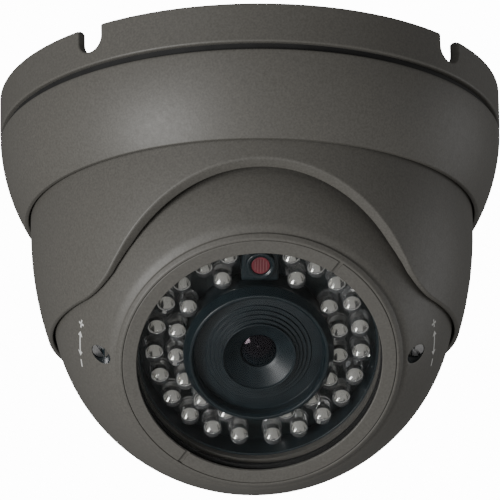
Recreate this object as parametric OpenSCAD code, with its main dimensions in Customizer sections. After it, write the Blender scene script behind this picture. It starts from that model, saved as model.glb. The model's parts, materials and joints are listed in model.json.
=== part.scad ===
// Dome security camera: a round ceiling base and cover, a shroud that pans under
// the cover, and an eyeball that tilts in the shroud. The eyeball holds infrared
// lamps and a varifocal lens, whose two rings are turned by geared spindles.
// Origin: centre of the ceiling face. +Z up, the lens looks to -Y and down.

/* [Eyeball] */
// Outer diameter of the eyeball
ball_d = 112.1; // [108:0.1:140]
// Wall of the eyeball shells
ball_wall = 2.6; // [2:0.1:3.2]
// Angle of the lens below horizontal at rest
rest_tilt = 47; // [30:1:60]
// Radius of the seam around the window bezel
face_r = 37.8; // [37.5:0.1:38.2]
// Distance from the eyeball's centre back to the joint of its two shells
split_w = 28; // [26:0.5:30]
// Radius of the flat on the eyeball's back
back_r = 36.8; // [30:0.2:38]
// Gap between the eyeball's top and the ceiling face
ball_top_gap = 1.8; // [1.6:0.1:6]

/* [Base] */
// How far the base reaches beyond the eyeball, in radius
base_overhang = 13.95; // [13.5:0.05:20]
// Height of the base
base_h = 11.2; // [10.5:0.1:14]
// Wall of the base's skirt
skirt_wall = 3; // [2.5:0.1:4]
// Thickness of the base's floor and well wall
floor_t = 2.8; // [2.2:0.1:3.2]
// Thickness of the screw plate
plate_t = 2.2; // [1.8:0.1:2.4]
// Outer radius of the well in the middle of the base
well_r = 48; // [46:0.5:52]
// Width of the four cable notches
notch_w = 7.75; // [5:0.25:10]
// Depth of the four cable notches
notch_depth = 7.2; // [5:0.1:7.6]
// Turn of the notches away from the 45 degree lines
notch_turn = 4; // [0:1:10]
// Pitch circle of the ceiling screw holes
screw_pcd = 80; // [70:1:82]
// Diameter of the ceiling screw holes
screw_hole_d = 4.5; // [3.5:0.1:5.5]
// Diameter of the hole that holds the cable grommet
entry_d = 30; // [29:0.5:34]

/* [Cover] */
// Height of the shadow gap between base and cover
seam_gap = 1.9; // [1.5:0.1:2.4]
// Height of the cover
cover_h = 23.3; // [22:0.1:28]
// Wall of the cover
cover_wall = 2; // [1.6:0.1:2.4]
// Width of the cover's flat lower lip
lip_w = 1.2; // [0.8:0.1:2]
// Gap between the cover's lip and the shroud
lip_gap = 0.5; // [0.3:0.1:0.8]

/* [Shroud] */
// How far the shroud stands off the eyeball at its top, in radius
shroud_stand = 5.45; // [5:0.05:6.5]
// Wall of the shroud
shroud_wall = 2.8; // [2.2:0.1:3]
// Radius of the shroud's lengthwise curve
shroud_curve = 100; // [80:5:160]
// How far the shroud reaches below the eyeball's centre
shroud_below = 12.65; // [10:0.05:14]
// How far the top of the arched cut-out lies above the eyeball's centre
arch_above = 16.45; // [14:0.05:17]
// Half width of the cut-out near its lower end
arch_half_w = 41.5; // [36:0.5:43]
// Inward slope of the cut-out's edge
arch_slope = 0.6; // [0.4:0.05:0.7]
// Radius that rounds the two tips of the cut-out
tip_r = 23; // [10:1:26]
// Thickness of the flange that the shroud hangs from
flange_t = 1.9; // [1.5:0.1:2.4]
// How far the flange stands out from the shroud
flange_w = 2.5; // [2:0.1:2.6]

/* [Tilt pivots] */
// Diameter of the pivot pins
pivot_d = 5; // [4:0.5:6]
// Length of each pin inside the eyeball's boss
pivot_hold = 6.2; // [5:0.1:6.4]
// Diameter of the friction washers
washer_d = 11; // [9:0.5:12]

/* [Window] */
// Inner radius of the bezel ring
window_r = 33.3; // [32.8:0.1:33.8]
// Thickness of the window glass
glass_t = 2; // [1.5:0.1:2.5]
// Thickness of the bezel's lip over the glass
bezel_lip_t = 0.95; // [0.8:0.05:1.2]
// Width of the two spanner slots in the bezel
spanner_slot_w = 1.4; // [1:0.1:2]

/* [Infrared lamps] */
// Diameter of a lamp
lamp_d = 5; // [4:0.5:5]
// Height of a lamp from its board to its tip
lamp_h = 8.7; // [7:0.1:9]
// Radius of the outer ring of lamps
lamp_outer_r = 28.2; // [28:0.1:28.4]
// Radius of the inner ring of lamps
lamp_inner_r = 22.4; // [22.3:0.1:22.5]
// Number of lamps on each side of the outer ring
lamp_outer_half = 11; // [5:1:11]
// Depth of the lamp board's face behind the bezel's face
board_depth = 16.35; // [14:0.05:17]
// Thickness of the circuit boards
board_t = 1.6; // [1:0.2:2]

/* [Lens] */
// Outer radius of the light baffle's front rim
sleeve_rim_r = 20.5; // [20:0.1:20.8]
// Outer radius of the light baffle behind its rim
sleeve_r = 19.3; // [18.8:0.1:19.35]
// Bore radius of the light baffle
sleeve_bore_r = 17.7; // [17.6:0.1:17.9]
// Radius of the lens barrel under its toothed rings
barrel_r = 16; // [14:0.5:16.5]
// Radius of the front ring of the lens
nose_r = 10.4; // [9.5:0.1:11]
// Radius of the front lens element
front_lens_r = 4.85; // [4:0.05:6]
// Side of the square circuit boards
board_side = 38; // [36:1:40]

/* [Adjusters] */
// Module of the adjuster gears
gear_module = 0.75; // [0.7:0.01:0.76]
// Teeth on each lens ring
ring_teeth = 56; // [54:2:56]
// Teeth on each idler
idler_teeth = 22; // [20:2:22]
// Teeth on each pinion
pinion_teeth = 14; // [12:2:14]
// Width of the gear teeth
gear_w = 4; // [3:0.2:4.2]
// Play between meshing teeth, along the pitch circle
backlash = 0.12; // [0.08:0.01:0.2]
// Diameter of the spindle shafts and idler axles
spindle_d = 3; // [2:0.1:3.2]
// Diameter of the adjuster holes in the eyeball
access_d = 4.9; // [4.6:0.1:5.4]
// Depth of a spindle's slotted head inside its hole
head_depth = 3.25; // [2.5:0.25:5]

/* [Fits] */
// Radial clearance of shafts that turn in bores
run_fit = 0.05; // [0.02:0.01:0.09]
// Gap between fixed pieces that don't touch
air = 0.2; // [0.1:0.05:0.3]

/* [Hidden] */
$fn = 96;

// Overlap that joins two solids of one piece
bond = 0.3;

// Eyeball, in its own frame: X right, Y up, Z forward along the lens
ball_r = ball_d / 2;
ball_in_r = ball_r - ball_wall;
ball_z = -(ball_r + ball_top_gap);
face_w = sqrt(ball_r * ball_r - face_r * face_r);
back_w = -sqrt(ball_r * ball_r - back_r * back_r);

// Base and cover, downwards from the ceiling face
base_r = ball_r + base_overhang;
cover_top = -(base_h + seam_gap);
lip_z = cover_top - cover_h;
shroud_r = ball_r + shroud_stand;
lip_bore_r = shroud_r + lip_gap;
lip_r = lip_bore_r + lip_w;
// The cover's curve is upright at this height and passes through the lip's edge
cover_mid_z = -base_h + 0.9;
cover_drop = cover_mid_z - lip_z;
cover_in = base_r - lip_r;
cover_curve = (cover_drop * cover_drop + cover_in * cover_in) / (2 * cover_in);
cover_axis_r = base_r - cover_curve;

// Pan bearing: slip ring on a ledge in the cover, then flange, then retainer
slip_t = 1;
retainer_t = 1.5;
retainer_top = -base_h - 6.8;
flange_pocket_top = retainer_top - retainer_t;
flange_top = flange_pocket_top - run_fit;
flange_bottom = flange_top - flange_t;
slip_top = flange_bottom - run_fit;
ledge_z = slip_top - slip_t;
flange_r = shroud_r + flange_w;
pocket_r = flange_r + air;
retainer_r = pocket_r + 2.8;
retainer_screw_r = pocket_r + 1.3;
retainer_bore_r = shroud_r - 1.5;
pan_stop_half = 2;

// Bayonet between base and cover
spigot_out_r = pocket_r + 1.1;
spigot_in_r = spigot_out_r - 2;
spigot_h = 5.2;
lug_t = 1.4;
lug_reach = 1.6;
lug_half = 12;
lug_angles = [30, 150, 270];
lock_z = cover_top - 1.9;

// Seam ring and ceiling gasket
seal_out_r = base_r - 1.4;
seal_in_r = seal_out_r - 2;
gasket_depth = 0.8;

// Shroud
shroud_top = flange_top;
shroud_mid_z = ball_z + 17.85;
shroud_low = ball_z - shroud_below;
shroud_axis_r = shroud_r - shroud_curve;
ball_gap = 0.7;
arch_top = ball_z + arch_above;
arch_side_z = shroud_low + 2.5;
arch_side_r = shroud_out(arch_side_z);
arch_side_y = sqrt(arch_side_r * arch_side_r - arch_half_w * arch_half_w);
arch_fall = arch_top - arch_side_z;
arch_shrink = arch_slope * (shroud_r - arch_side_y);
arch_cone_r = (arch_half_w * arch_half_w + arch_fall * arch_fall - arch_shrink * arch_shrink)
    / (2 * (arch_fall - arch_shrink));

// Tilt pivots
flat_x = ball_r - 0.45;
pad_x = flat_x + 0.9;
pad_r = 8;
pin_in_x = flat_x - pivot_hold;
pin_out_x = shroud_out(ball_z) - 1.3;
boss_r = pivot_d / 2 + 2.5;

// Window stack, backwards from the bezel's face
bezel_r = face_r - 0.7;
glass_front = face_w - bezel_lip_t;
glass_back = glass_front - glass_t;
glass_gasket_t = 1;
shelf_front = glass_back - glass_gasket_t;
shelf_t = 2;
shelf_back = shelf_front - shelf_t;
glass_r = window_r + 1.9;
shelf_bore_r = window_r - 0.5;
bezel_seat_r = bezel_r + 0.1;

// Lamp board and what stands on it
board_front = face_w - board_depth;
board_back = board_front - board_t;
board_r = window_r + 5;
lamp_flange_r = lamp_d / 2 + 0.4;
lamp_flange_t = 1;
lamp_first = 17.5;
lamp_step = 15.3;
lamp_inner_angles = concat([26.5], [for (i = [0:5]) 58.5 + 20 * i]);
post_r = 2.6;
post_at = window_r + 2.4;
post_angles = [45, 135, 225, 315];
stud_r = 1.25;
stud_len = 4;
holder_w = 10;
sensor_y = 26.4;
sensor_r = 4;
sensor_front = board_front + 10.4;

// Lens
nose_front = face_w - 3.4;
nose_base_front = nose_front - 4.7;
nose_base_r = sleeve_bore_r - air;
lens_front = nose_front - 3.2;
lens_seat = nose_front - 4.4;
sleeve_front = face_w - 3.15;
sleeve_rim_w = 4;
sleeve_taper_w = 2.8;
sleeve_mouth_r = sleeve_bore_r + 1.3;
sleeve_floor_t = 1;
sleeve_floor_bore_r = nose_r + air;

// Gear planes and centres
ring_pitch_r = gear_module * ring_teeth / 2;
idler_pitch_r = gear_module * idler_teeth / 2;
pinion_pitch_r = gear_module * pinion_teeth / 2;
idler_x = ring_pitch_r + idler_pitch_r;
spindle_x = idler_x + idler_pitch_r + pinion_pitch_r;
pressure_angle = 25;
zoom_w = 1;
focus_w = zoom_w + gear_w + 4;
ring_gap = 0.1;
nose_base_back = focus_w + gear_w + ring_gap;
ring_bore_r = barrel_r + run_fit;
spacer_r = barrel_r + 1.5;

// Gear bracket under the rings
bracket_front = zoom_w - 7;
bracket_t = 2;
bracket_back = bracket_front - bracket_t;
axle_r = spindle_d / 2;
axle_step_r = axle_r + 1;
clip_t = 0.5;
spigot_r = 12.2;

// Spindle heads and their guide tubes in the front shell
access_r = access_d / 2;
access_mouth = sqrt(ball_r * ball_r - spindle_x * spindle_x);
head_front = access_mouth - head_depth;
head_t = 2;
head_r = access_r - 0.15;
guide_shoulder = head_front - head_t - 0.1;
guide_back = guide_shoulder - 5;
guide_r = access_r + 1.9;

// Sensor stack
mount_back = bracket_back - 12;
sensor_board_back = mount_back - board_t;
spacer_len = 8;
processor_front = sensor_board_back - spacer_len;
processor_back = processor_front - board_t;
board_hole_at = board_side / 2 - 3.5;
board_screw_r = 1;

// Joint of the two shells
shell_screw_at = 41.5;
shell_screw_r = 1.5;
shell_boss_r = 3.6;
shell_boss_len = 13;
gasket_in_r = sqrt(ball_in_r * ball_in_r - split_w * split_w) + 0.9;
gasket_t = 1.2;

metal_paint = [0.36, 0.35, 0.33];
dark_rubber = [0.08, 0.08, 0.08];
black_plastic = [0.05, 0.05, 0.05];
bright_metal = [0.75, 0.75, 0.77];
board_green = [0.05, 0.25, 0.12];
nylon = [0.85, 0.84, 0.78];

// Outer radius of the shroud at a height
function shroud_out(z) =
    let (d = min(z - shroud_mid_z, 0))
    shroud_axis_r + sqrt(shroud_curve * shroud_curve - d * d);

// Places children in the eyeball's frame at rest
module in_eyeball() {
    translate([0, 0, ball_z]) rotate([90 + rest_tilt, 0, 0]) children();
}

// Ring from z1 up to z2
module ring(r_out, r_in, z1, z2) {
    translate([0, 0, z1])
        difference() {
            cylinder(r = r_out, h = z2 - z1);
            translate([0, 0, -1]) cylinder(r = r_in, h = z2 - z1 + 2);
        }
}

// Solid round from z1 up to z2
module rod(r, z1, z2) {
    translate([0, 0, z1]) cylinder(r = r, h = z2 - z1);
}

// Copies children at each of the angles
module at_angles(angles) {
    for (a = angles) rotate([0, 0, a]) children();
}

// Part of a ring, half_angle to each side of +X
module ring_sector(r_out, r_in, z1, z2, half_angle) {
    reach = 2 * r_out;
    intersection() {
        ring(r_out, r_in, z1, z2);
        translate([0, 0, z1 - 1])
            linear_extrude(z2 - z1 + 2)
                polygon([[0, 0], [reach * cos(half_angle), -reach * sin(half_angle)],
                    [reach * cos(half_angle), reach * sin(half_angle)]]);
    }
}

// ---- Base ----

notch_angles = [for (i = [0:3]) 45 + notch_turn + 90 * i];

module notch_cut(depth, inner_r) {
    reach = base_r - inner_r + 2;
    at_angles(notch_angles)
        translate([inner_r, 0, -depth + notch_w / 2])
            union() {
                rotate([0, 90, 0]) cylinder(d = notch_w, h = reach);
                translate([0, -notch_w / 2, 0]) cube([reach, notch_w, depth]);
            }
}

module mounting_base() {
    edge = 0.5;
    inner_r = base_r - skirt_wall;
    color(metal_paint)
        difference() {
            union() {
                rotate_extrude($fn = 180)
                    polygon([[inner_r, 0], [base_r - edge, 0], [base_r, -edge], [base_r, edge - base_h],
                        [base_r - edge, -base_h], [well_r - floor_t, -base_h], [well_r - floor_t, 0],
                        [well_r, 0], [well_r, floor_t - base_h], [inner_r, floor_t - base_h]]);
                ring(well_r - floor_t + bond, entry_d / 2, -plate_t, 0);
                ring(spigot_out_r, spigot_in_r, -base_h - spigot_h, -base_h + bond);
                at_angles(lug_angles)
                    ring_sector(spigot_out_r + lug_reach, spigot_out_r - bond,
                        -base_h - spigot_h, -base_h - spigot_h + lug_t, lug_half);
            }
            notch_cut(notch_depth, inner_r - 1);
            ring(base_r - 0.8, base_r - 2.2, -gasket_depth, 1);
            at_angles([for (i = [0:3]) notch_turn + 90 * i])
                translate([screw_pcd / 2, 0, 0]) rod(screw_hole_d / 2, -plate_t - 1, 1);
        }
}

module base_gasket() {
    color(dark_rubber)
        difference() {
            ring(base_r - 0.8, base_r - 2.2, -gasket_depth, 0);
            notch_cut(notch_depth, base_r - skirt_wall - 1);
        }
}

module cable_grommet() {
    lip_t = 0.7;
    land = 1.6;
    flare = 1.8;
    bore_r = entry_d / 2 - 1.5;
    low = -plate_t - lip_t;
    color(dark_rubber)
        difference() {
            union() {
                rod(entry_d / 2, low, 0);
                rod(entry_d / 2 + flare, low, -plate_t);
            }
            rod(bore_r, low - 1, 1);
            translate([0, 0, low - 0.01]) cylinder(r1 = bore_r + flare, r2 = bore_r, h = 0.01 - land - low);
        }
}

module cover_seal() {
    color(dark_rubber) ring(seal_out_r, seal_in_r, cover_top, -base_h);
}

// ---- Cover ----

// Solid of revolution inside the cover's curve, offset inwards by depth
module cover_round(depth, low, high) {
    rotate_extrude($fn = 180)
        intersection() {
            translate([cover_axis_r, cover_mid_z]) circle(r = cover_curve - depth, $fn = 360);
            translate([0, low]) square([base_r + 5, high - low]);
        }
}

module cover() {
    lug_low = -base_h - spigot_h + lug_t + 0.1;
    color(metal_paint)
        difference() {
            union() {
                difference() {
                    cover_round(0, lip_z, cover_top);
                    cover_round(cover_wall, flange_pocket_top, cover_top + 1);
                    rod(pocket_r, ledge_z, cover_top + 1);
                    rod(lip_bore_r, lip_z - 1, cover_top + 1);
                }
                intersection() {
                    at_angles(lug_angles)
                        ring_sector(base_r, spigot_out_r + run_fit, lug_low, cover_top - air, lug_half);
                    cover_round(cover_wall / 2, lug_low - 1, cover_top);
                }
            }
            at_angles(post_angles)
                translate([retainer_screw_r, 0, 0]) rod(1, flange_pocket_top - 4, flange_pocket_top + 0.1);
            translate([0, spigot_out_r - 1, lock_z]) rotate([-90, 0, 0]) cylinder(r = 1.5, h = 12);
        }
}

module lock_screw() {
    socket_r = 0.9;
    color(bright_metal)
        translate([0, 0, lock_z]) rotate([-90, 0, 0])
            difference() {
                rod(1.5, spigot_out_r, base_r - 0.9);
                translate([0, 0, base_r - 2.4]) cylinder(r = socket_r, h = 3, $fn = 6);
            }
}

module pan_slip_ring() {
    color(nylon) ring(pocket_r, shroud_r + run_fit, ledge_z, slip_top);
}

module pan_retainer() {
    tooth_r = retainer_bore_r - 1.7;
    color(bright_metal)
        difference() {
            union() {
                ring(retainer_r, retainer_bore_r, flange_pocket_top, retainer_top);
                rotate([0, 0, 270])
                    ring_sector(retainer_bore_r + bond, tooth_r, flange_pocket_top, retainer_top,
                        pan_stop_half);
            }
            at_angles(post_angles)
                translate([retainer_screw_r, 0, 0]) rod(1.1, flange_pocket_top - 1, retainer_top + 1);
        }
}

module retainer_screws() {
    color(bright_metal)
        at_angles(post_angles)
            translate([retainer_screw_r, 0, 0])
                difference() {
                    union() {
                        rod(1, flange_pocket_top - 3.6, retainer_top + bond);
                        rod(1.6, retainer_top, retainer_top + 1.1);
                    }
                    translate([-0.25, -2, retainer_top + 0.6]) cube([0.5, 4, 1]);
                }
}

// ---- Shroud ----

module shroud_round(depth, low, high) {
    rotate_extrude($fn = 180)
        union() {
            intersection() {
                translate([shroud_axis_r, shroud_mid_z]) circle(r = shroud_curve - depth, $fn = 720);
                translate([0, low]) square([shroud_r + 5, shroud_mid_z - low]);
            }
            translate([0, shroud_mid_z - bond]) square([shroud_r - depth, high - shroud_mid_z + bond]);
        }
}

// Cuts the arched opening: a cone that narrows towards the back
module arch_cut() {
    front_y = shroud_r + 10;
    back_y = 12;
    translate([0, 0, arch_top - arch_cone_r])
        rotate([90, 0, 0])
            translate([0, 0, back_y])
                cylinder(r1 = arch_cone_r - arch_slope * (shroud_r - back_y),
                    r2 = arch_cone_r + arch_slope * (front_y - shroud_r), h = front_y - back_y, $fn = 180);
}

// Rounds the corner between the arch and the lower rim, on one side
module tip_round_cut(side) {
    corner = asin(arch_half_w / arch_side_r) + 2.5;
    reach = tip_r * tan(22.5);
    rotate([0, 0, side * corner])
        difference() {
            translate([-reach, -shroud_r - 5, shroud_low - 5])
                cube([2 * reach, shroud_r / 2, 5 + reach * sin(45)]);
            translate([side * reach, -shroud_r / 4, shroud_low + tip_r])
                rotate([90, 0, 0]) cylinder(r = tip_r + 0.02, h = shroud_r, $fn = 180);
        }
}

module shroud() {
    color(metal_paint)
        difference() {
            union() {
                difference() {
                    shroud_round(0, shroud_low, shroud_top);
                    shroud_round(shroud_wall, shroud_low - 1, shroud_top + 1);
                }
                ring(flange_r, shroud_r - shroud_wall, flange_bottom, flange_top);
                intersection() {
                    for (side = [-1, 1])
                        translate([side * shroud_r / 2, 0, ball_z])
                            rotate([0, side * 90, 0]) cylinder(r = pad_r, h = shroud_r / 2);
                    difference() {
                        shroud_round(shroud_wall / 2, shroud_low, shroud_top);
                        translate([-pad_x, -shroud_r, ball_z - shroud_r])
                            cube([2 * pad_x, 2 * shroud_r, 2 * shroud_r]);
                    }
                }
                rotate([0, 0, 90])
                    ring_sector(retainer_bore_r - air, shroud_r - shroud_wall, shroud_top - bond,
                        retainer_top, pan_stop_half);
            }
            translate([0, 0, ball_z]) sphere(r = ball_r + ball_gap, $fn = 180);
            for (side = [-1, 1])
                translate([side * (ball_r - 2), 0, ball_z])
                    rotate([0, side * 90, 0])
                        cylinder(r = pivot_d / 2 + run_fit, h = pin_out_x + 0.1 - ball_r + 2);
            arch_cut();
            tip_round_cut(1);
            tip_round_cut(-1);
        }
}

module pivot_pins() {
    color(bright_metal)
        translate([0, 0, ball_z])
            for (side = [-1, 1])
                rotate([0, side * 90, 0]) rod(pivot_d / 2, pin_in_x, pin_out_x);
}

module pivot_washers() {
    color(nylon)
        translate([0, 0, ball_z])
            for (side = [-1, 1])
                rotate([0, side * 90, 0]) ring(washer_d / 2, pivot_d / 2 + run_fit, flat_x, pad_x - 0.05);
}

// ---- Eyeball shells ----

// Hollow ball between two planes across the lens axis
module ball_band(low, high) {
    rotate_extrude($fn = 180)
        intersection() {
            difference() {
                circle(r = ball_r, $fn = 360);
                circle(r = ball_in_r, $fn = 360);
            }
            translate([0, low]) square([ball_r + 1, high - low]);
        }
}

module inside_ball() {
    intersection() {
        sphere(r = ball_r - 1, $fn = 180);
        children();
    }
}

module shell_boss(z1, z2) {
    at_angles(post_angles)
        union() {
            translate([shell_screw_at, 0, 0]) rod(shell_boss_r, z1, z2);
            translate([shell_screw_at, -1.5, z1]) cube([ball_r, 3, z2 - z1]);
        }
}

module ball_front_shell() {
    color(metal_paint)
        in_eyeball()
            difference() {
                union() {
                    ball_band(-split_w, face_w);
                    inside_ball() ring(ball_r, shelf_bore_r, shelf_back, shelf_front);
                    inside_ball() ring(ball_r, bezel_seat_r - bond, shelf_back, face_w);
                    at_angles(post_angles)
                        translate([post_at, 0, 0]) rod(post_r, board_front, shelf_back + bond);
                    inside_ball()
                        for (side = [-1, 1])
                            translate([side * spindle_x, 0, 0]) rod(guide_r, guide_back, ball_r);
                    for (side = [-1, 1])
                        rotate([0, side * 90, 0]) rod(boss_r, pin_in_x, flat_x);
                    inside_ball() shell_boss(-split_w, -split_w + shell_boss_len);
                }
                rod(bezel_seat_r, shelf_front, ball_r);
                rod(shelf_bore_r, shelf_back - 1, ball_r);
                at_angles(post_angles)
                    translate([post_at, 0, 0]) rod(stud_r, board_front - 1, board_front + stud_len + 1);
                for (side = [-1, 1])
                    translate([side * spindle_x, 0, 0]) {
                        rod(access_r, guide_shoulder, ball_r);
                        rod(axle_r + run_fit, guide_back - 1, ball_r);
                    }
                for (side = [-1, 1])
                    rotate([0, side * 90, 0]) {
                        rod(pivot_d / 2, pin_in_x - 1, ball_r);
                        rod(boss_r + 5, flat_x, ball_r + 1);
                    }
                at_angles(post_angles)
                    translate([shell_screw_at, 0, 0]) rod(shell_screw_r, -split_w - 1, -split_w + 9);
                ring(gasket_in_r + gasket_t, gasket_in_r, -split_w - 1, -split_w + gasket_t);
            }
}

module shell_gasket() {
    color(dark_rubber)
        in_eyeball() ring(gasket_in_r + gasket_t, gasket_in_r, -split_w, -split_w + gasket_t);
}

module ball_rear_shell() {
    back_in = back_w + ball_wall;
    color(metal_paint)
        in_eyeball()
            difference() {
                union() {
                    ball_band(back_w, -split_w);
                    inside_ball() rod(ball_r, back_w, back_in);
                    inside_ball() shell_boss(back_w, -split_w);
                }
                rod(5, back_w - 1, back_in + 1);
                at_angles(post_angles)
                    translate([shell_screw_at, 0, 0]) {
                        rod(shell_screw_r + 0.2, back_w - 5, 0);
                        rod(shell_screw_r + 1.5, -ball_r, -split_w - 4);
                    }
            }
}

module shell_screws() {
    color(bright_metal)
        in_eyeball()
            at_angles(post_angles)
                translate([shell_screw_at, 0, 0])
                    difference() {
                        union() {
                            rod(shell_screw_r, -split_w - 4 - bond, -split_w + 8);
                            rod(shell_screw_r + 1.25, -split_w - 6.4, -split_w - 4);
                        }
                        translate([0, 0, -split_w - 7]) cylinder(r = 1.25, h = 2, $fn = 6);
                    }
}

module ball_gland() {
    color(dark_rubber)
        in_eyeball()
            difference() {
                union() {
                    rod(5, back_w - bond, back_w + ball_wall + 1.5);
                    rod(7.5, back_w - 1.6, back_w);
                    translate([0, 0, back_w - 4]) cylinder(r1 = 4, r2 = 6, h = 2.5);
                }
                rod(2.2, back_w - 5, back_w + ball_wall + 2);
            }
}

// ---- Window ----

module bezel_ring() {
    color(metal_paint)
        in_eyeball()
            difference() {
                rod(bezel_r, shelf_front, face_w - 0.05);
                rod(window_r, shelf_front - 1, face_w + 1);
                rod(glass_r + 0.1, shelf_front - 1, glass_front);
                for (a = [-34.8, 145.2])
                    rotate([0, 0, a])
                        translate([-spanner_slot_w / 2, window_r + 0.9, face_w - 0.85])
                            cube([spanner_slot_w, bezel_r - window_r - 1.5, 2]);
            }
}

module front_glass() {
    color([0.75, 0.8, 0.82, 0.3]) in_eyeball() rod(glass_r, glass_back, glass_front);
}

module glass_gasket() {
    color(dark_rubber) in_eyeball() ring(glass_r, window_r - 0.3, shelf_front, glass_back);
}

// ---- Lamp board ----

module lamp_board() {
    color(board_green)
        in_eyeball()
            difference() {
                rod(board_r, board_back, board_front);
                rod(sleeve_r + air, board_back - 1, board_front + 1);
                at_angles(post_angles)
                    translate([post_at, 0, 0]) rod(stud_r, board_back - 1, board_front + 1);
            }
}

module lamp_skirt() {
    color(black_plastic) in_eyeball() ring(window_r - 0.3, window_r - 1.1, board_front, shelf_back);
}

// A clear lamp standing on the board at a clockwise angle from the top
module lamp_at(radius, angle) {
    rotate([0, 0, -angle])
        translate([0, radius, board_front])
            union() {
                cylinder(r = lamp_flange_r, h = lamp_flange_t, $fn = 32);
                cylinder(d = lamp_d, h = lamp_h - lamp_d / 2, $fn = 32);
                translate([0, 0, lamp_h - lamp_d / 2]) sphere(d = lamp_d, $fn = 32);
            }
}

module lamps_outer() {
    color([0.9, 0.93, 0.95, 0.6])
        in_eyeball()
            for (i = [0:lamp_outer_half - 1], side = [-1, 1])
                lamp_at(lamp_outer_r, side * (lamp_first + lamp_step * i));
}

module lamps_inner() {
    color([0.9, 0.93, 0.95, 0.6])
        in_eyeball()
            for (a = lamp_inner_angles, side = [-1, 1])
                lamp_at(lamp_inner_r, side * a);
}

module sensor_holder() {
    low_y = sleeve_rim_r + 0.6;
    high_y = sqrt(pow(window_r - 1.1, 2) - pow(holder_w / 2, 2));
    color(black_plastic)
        in_eyeball()
            difference() {
                translate([-holder_w / 2, low_y, board_front])
                    cube([holder_w, high_y - low_y, sensor_front - 2 - board_front]);
                translate([0, sensor_y, 0]) rod(sensor_r, board_front + 2, face_w);
            }
}

module light_sensor() {
    color([0.45, 0.2, 0.15])
        in_eyeball()
            translate([0, sensor_y, 0])
                difference() {
                    rod(sensor_r, board_front + 2, sensor_front);
                    ring(sensor_r - 0.7, 2.5, sensor_front - 0.6, sensor_front + 1);
                    rod(2.6, sensor_front - 0.4, sensor_front + 1);
                }
}

// ---- Lens ----

module lens_sleeve() {
    color(black_plastic)
        in_eyeball()
            difference() {
                union() {
                    rod(sleeve_r, nose_base_back + 0.9, sleeve_front - sleeve_taper_w);
                    rod(sleeve_rim_r, sleeve_front - sleeve_rim_w, sleeve_front - sleeve_taper_w);
                    translate([0, 0, sleeve_front - sleeve_taper_w])
                        cylinder(r1 = sleeve_rim_r, r2 = sleeve_mouth_r, h = sleeve_taper_w);
                }
                rod(sleeve_bore_r, nose_base_front + sleeve_floor_t, sleeve_front + 1);
                rod(sleeve_bore_r, nose_base_back, nose_base_front);
                rod(sleeve_floor_bore_r, nose_base_back, sleeve_front);
            }
}

module lens_nose() {
    color(black_plastic)
        in_eyeball()
            difference() {
                union() {
                    rod(nose_base_r, nose_base_back, nose_base_front);
                    rod(nose_r, nose_base_back, nose_front);
                }
                rod(front_lens_r, nose_base_back - 1, nose_front + 1);
                translate([0, 0, lens_seat])
                    cylinder(r1 = front_lens_r, r2 = nose_r - 1.2, h = nose_front - lens_seat + 0.01);
            }
}

// A lens element with one bulging face
module lens_element(r, back, edge, bulge) {
    curve = (r * r + bulge * bulge) / (2 * bulge);
    rod(r, back, edge);
    intersection() {
        translate([0, 0, edge + bulge - curve]) sphere(r = curve, $fn = 180);
        rod(r, edge - 0.1, edge + bulge + 1);
    }
}

module front_lens() {
    color([0.3, 0.2, 0.4, 0.8])
        in_eyeball()
            lens_element(front_lens_r, lens_seat - 2.2, lens_seat - 0.2, lens_front - lens_seat + 0.2);
}

module lens_barrel() {
    color([0.15, 0.15, 0.16])
        in_eyeball()
            difference() {
                union() {
                    rod(barrel_r, bracket_front, nose_base_back);
                    rod(spacer_r, bracket_front, zoom_w - ring_gap);
                    rod(spigot_r, bracket_back - 6, bracket_front + bond);
                }
                rod(9.4, bracket_back - 7, nose_base_back + 1);
            }
}

module rear_lens() {
    color([0.35, 0.4, 0.5, 0.8]) in_eyeball() lens_element(9.4, bracket_back - 4, bracket_back - 1.5, 1.4);
}

module ring_spacer() {
    color([0.15, 0.15, 0.16])
        in_eyeball() ring(spacer_r, barrel_r, zoom_w + gear_w + ring_gap, focus_w - ring_gap);
}

module lens_mount() {
    color(black_plastic)
        in_eyeball()
            difference() {
                union() {
                    rod(spigot_r + 3, mount_back, bracket_back);
                    translate([-board_side / 2, -board_side / 2, mount_back])
                        cube([board_side, board_side, 3]);
                }
                rod(spigot_r, mount_back - 1, bracket_back + 1);
                board_holes(board_screw_r, mount_back - 1, mount_back + 4);
            }
}

module board_holes(r, z1, z2) {
    for (x = [-1, 1], y = [-1, 1])
        translate([x * board_hole_at, y * board_hole_at, 0]) rod(r, z1, z2);
}

module image_sensor() {
    color([0.2, 0.22, 0.3]) in_eyeball() translate([-4, -3.2, mount_back]) cube([8, 6.4, 1.4]);
}

module square_board(z1, z2) {
    difference() {
        translate([-board_side / 2, -board_side / 2, z1]) cube([board_side, board_side, z2 - z1]);
        board_holes(board_screw_r + 0.1, z1 - 1, z2 + 1);
    }
}

module sensor_board() {
    color(board_green) in_eyeball() square_board(sensor_board_back, mount_back);
}

module processor_board() {
    color(board_green)
        in_eyeball()
            union() {
                square_board(processor_back, processor_front);
                translate([-7, -7, processor_front - bond]) cube([14, 14, 1.2 + bond]);
                translate([-6, 11.5, processor_back - 4]) cube([12, 5, 4 + bond]);
            }
}

module board_spacers() {
    color(bright_metal)
        in_eyeball()
            difference() {
                board_holes(board_screw_r + 1.2, processor_front, sensor_board_back);
                board_holes(board_screw_r + 0.1, processor_front - 1, sensor_board_back + 1);
            }
}

module board_screws() {
    color(bright_metal)
        in_eyeball()
            difference() {
                union() {
                    board_holes(board_screw_r, processor_back - bond, mount_back + 2.6);
                    board_holes(board_screw_r + 0.9, processor_back - 1.4, processor_back);
                }
                for (x = [-1, 1], y = [-1, 1])
                    translate([x * board_hole_at - 0.25, y * board_hole_at - 3, processor_back - 2])
                        cube([0.5, 6, 1.2]);
            }
}

// ---- Gear bracket ----

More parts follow.
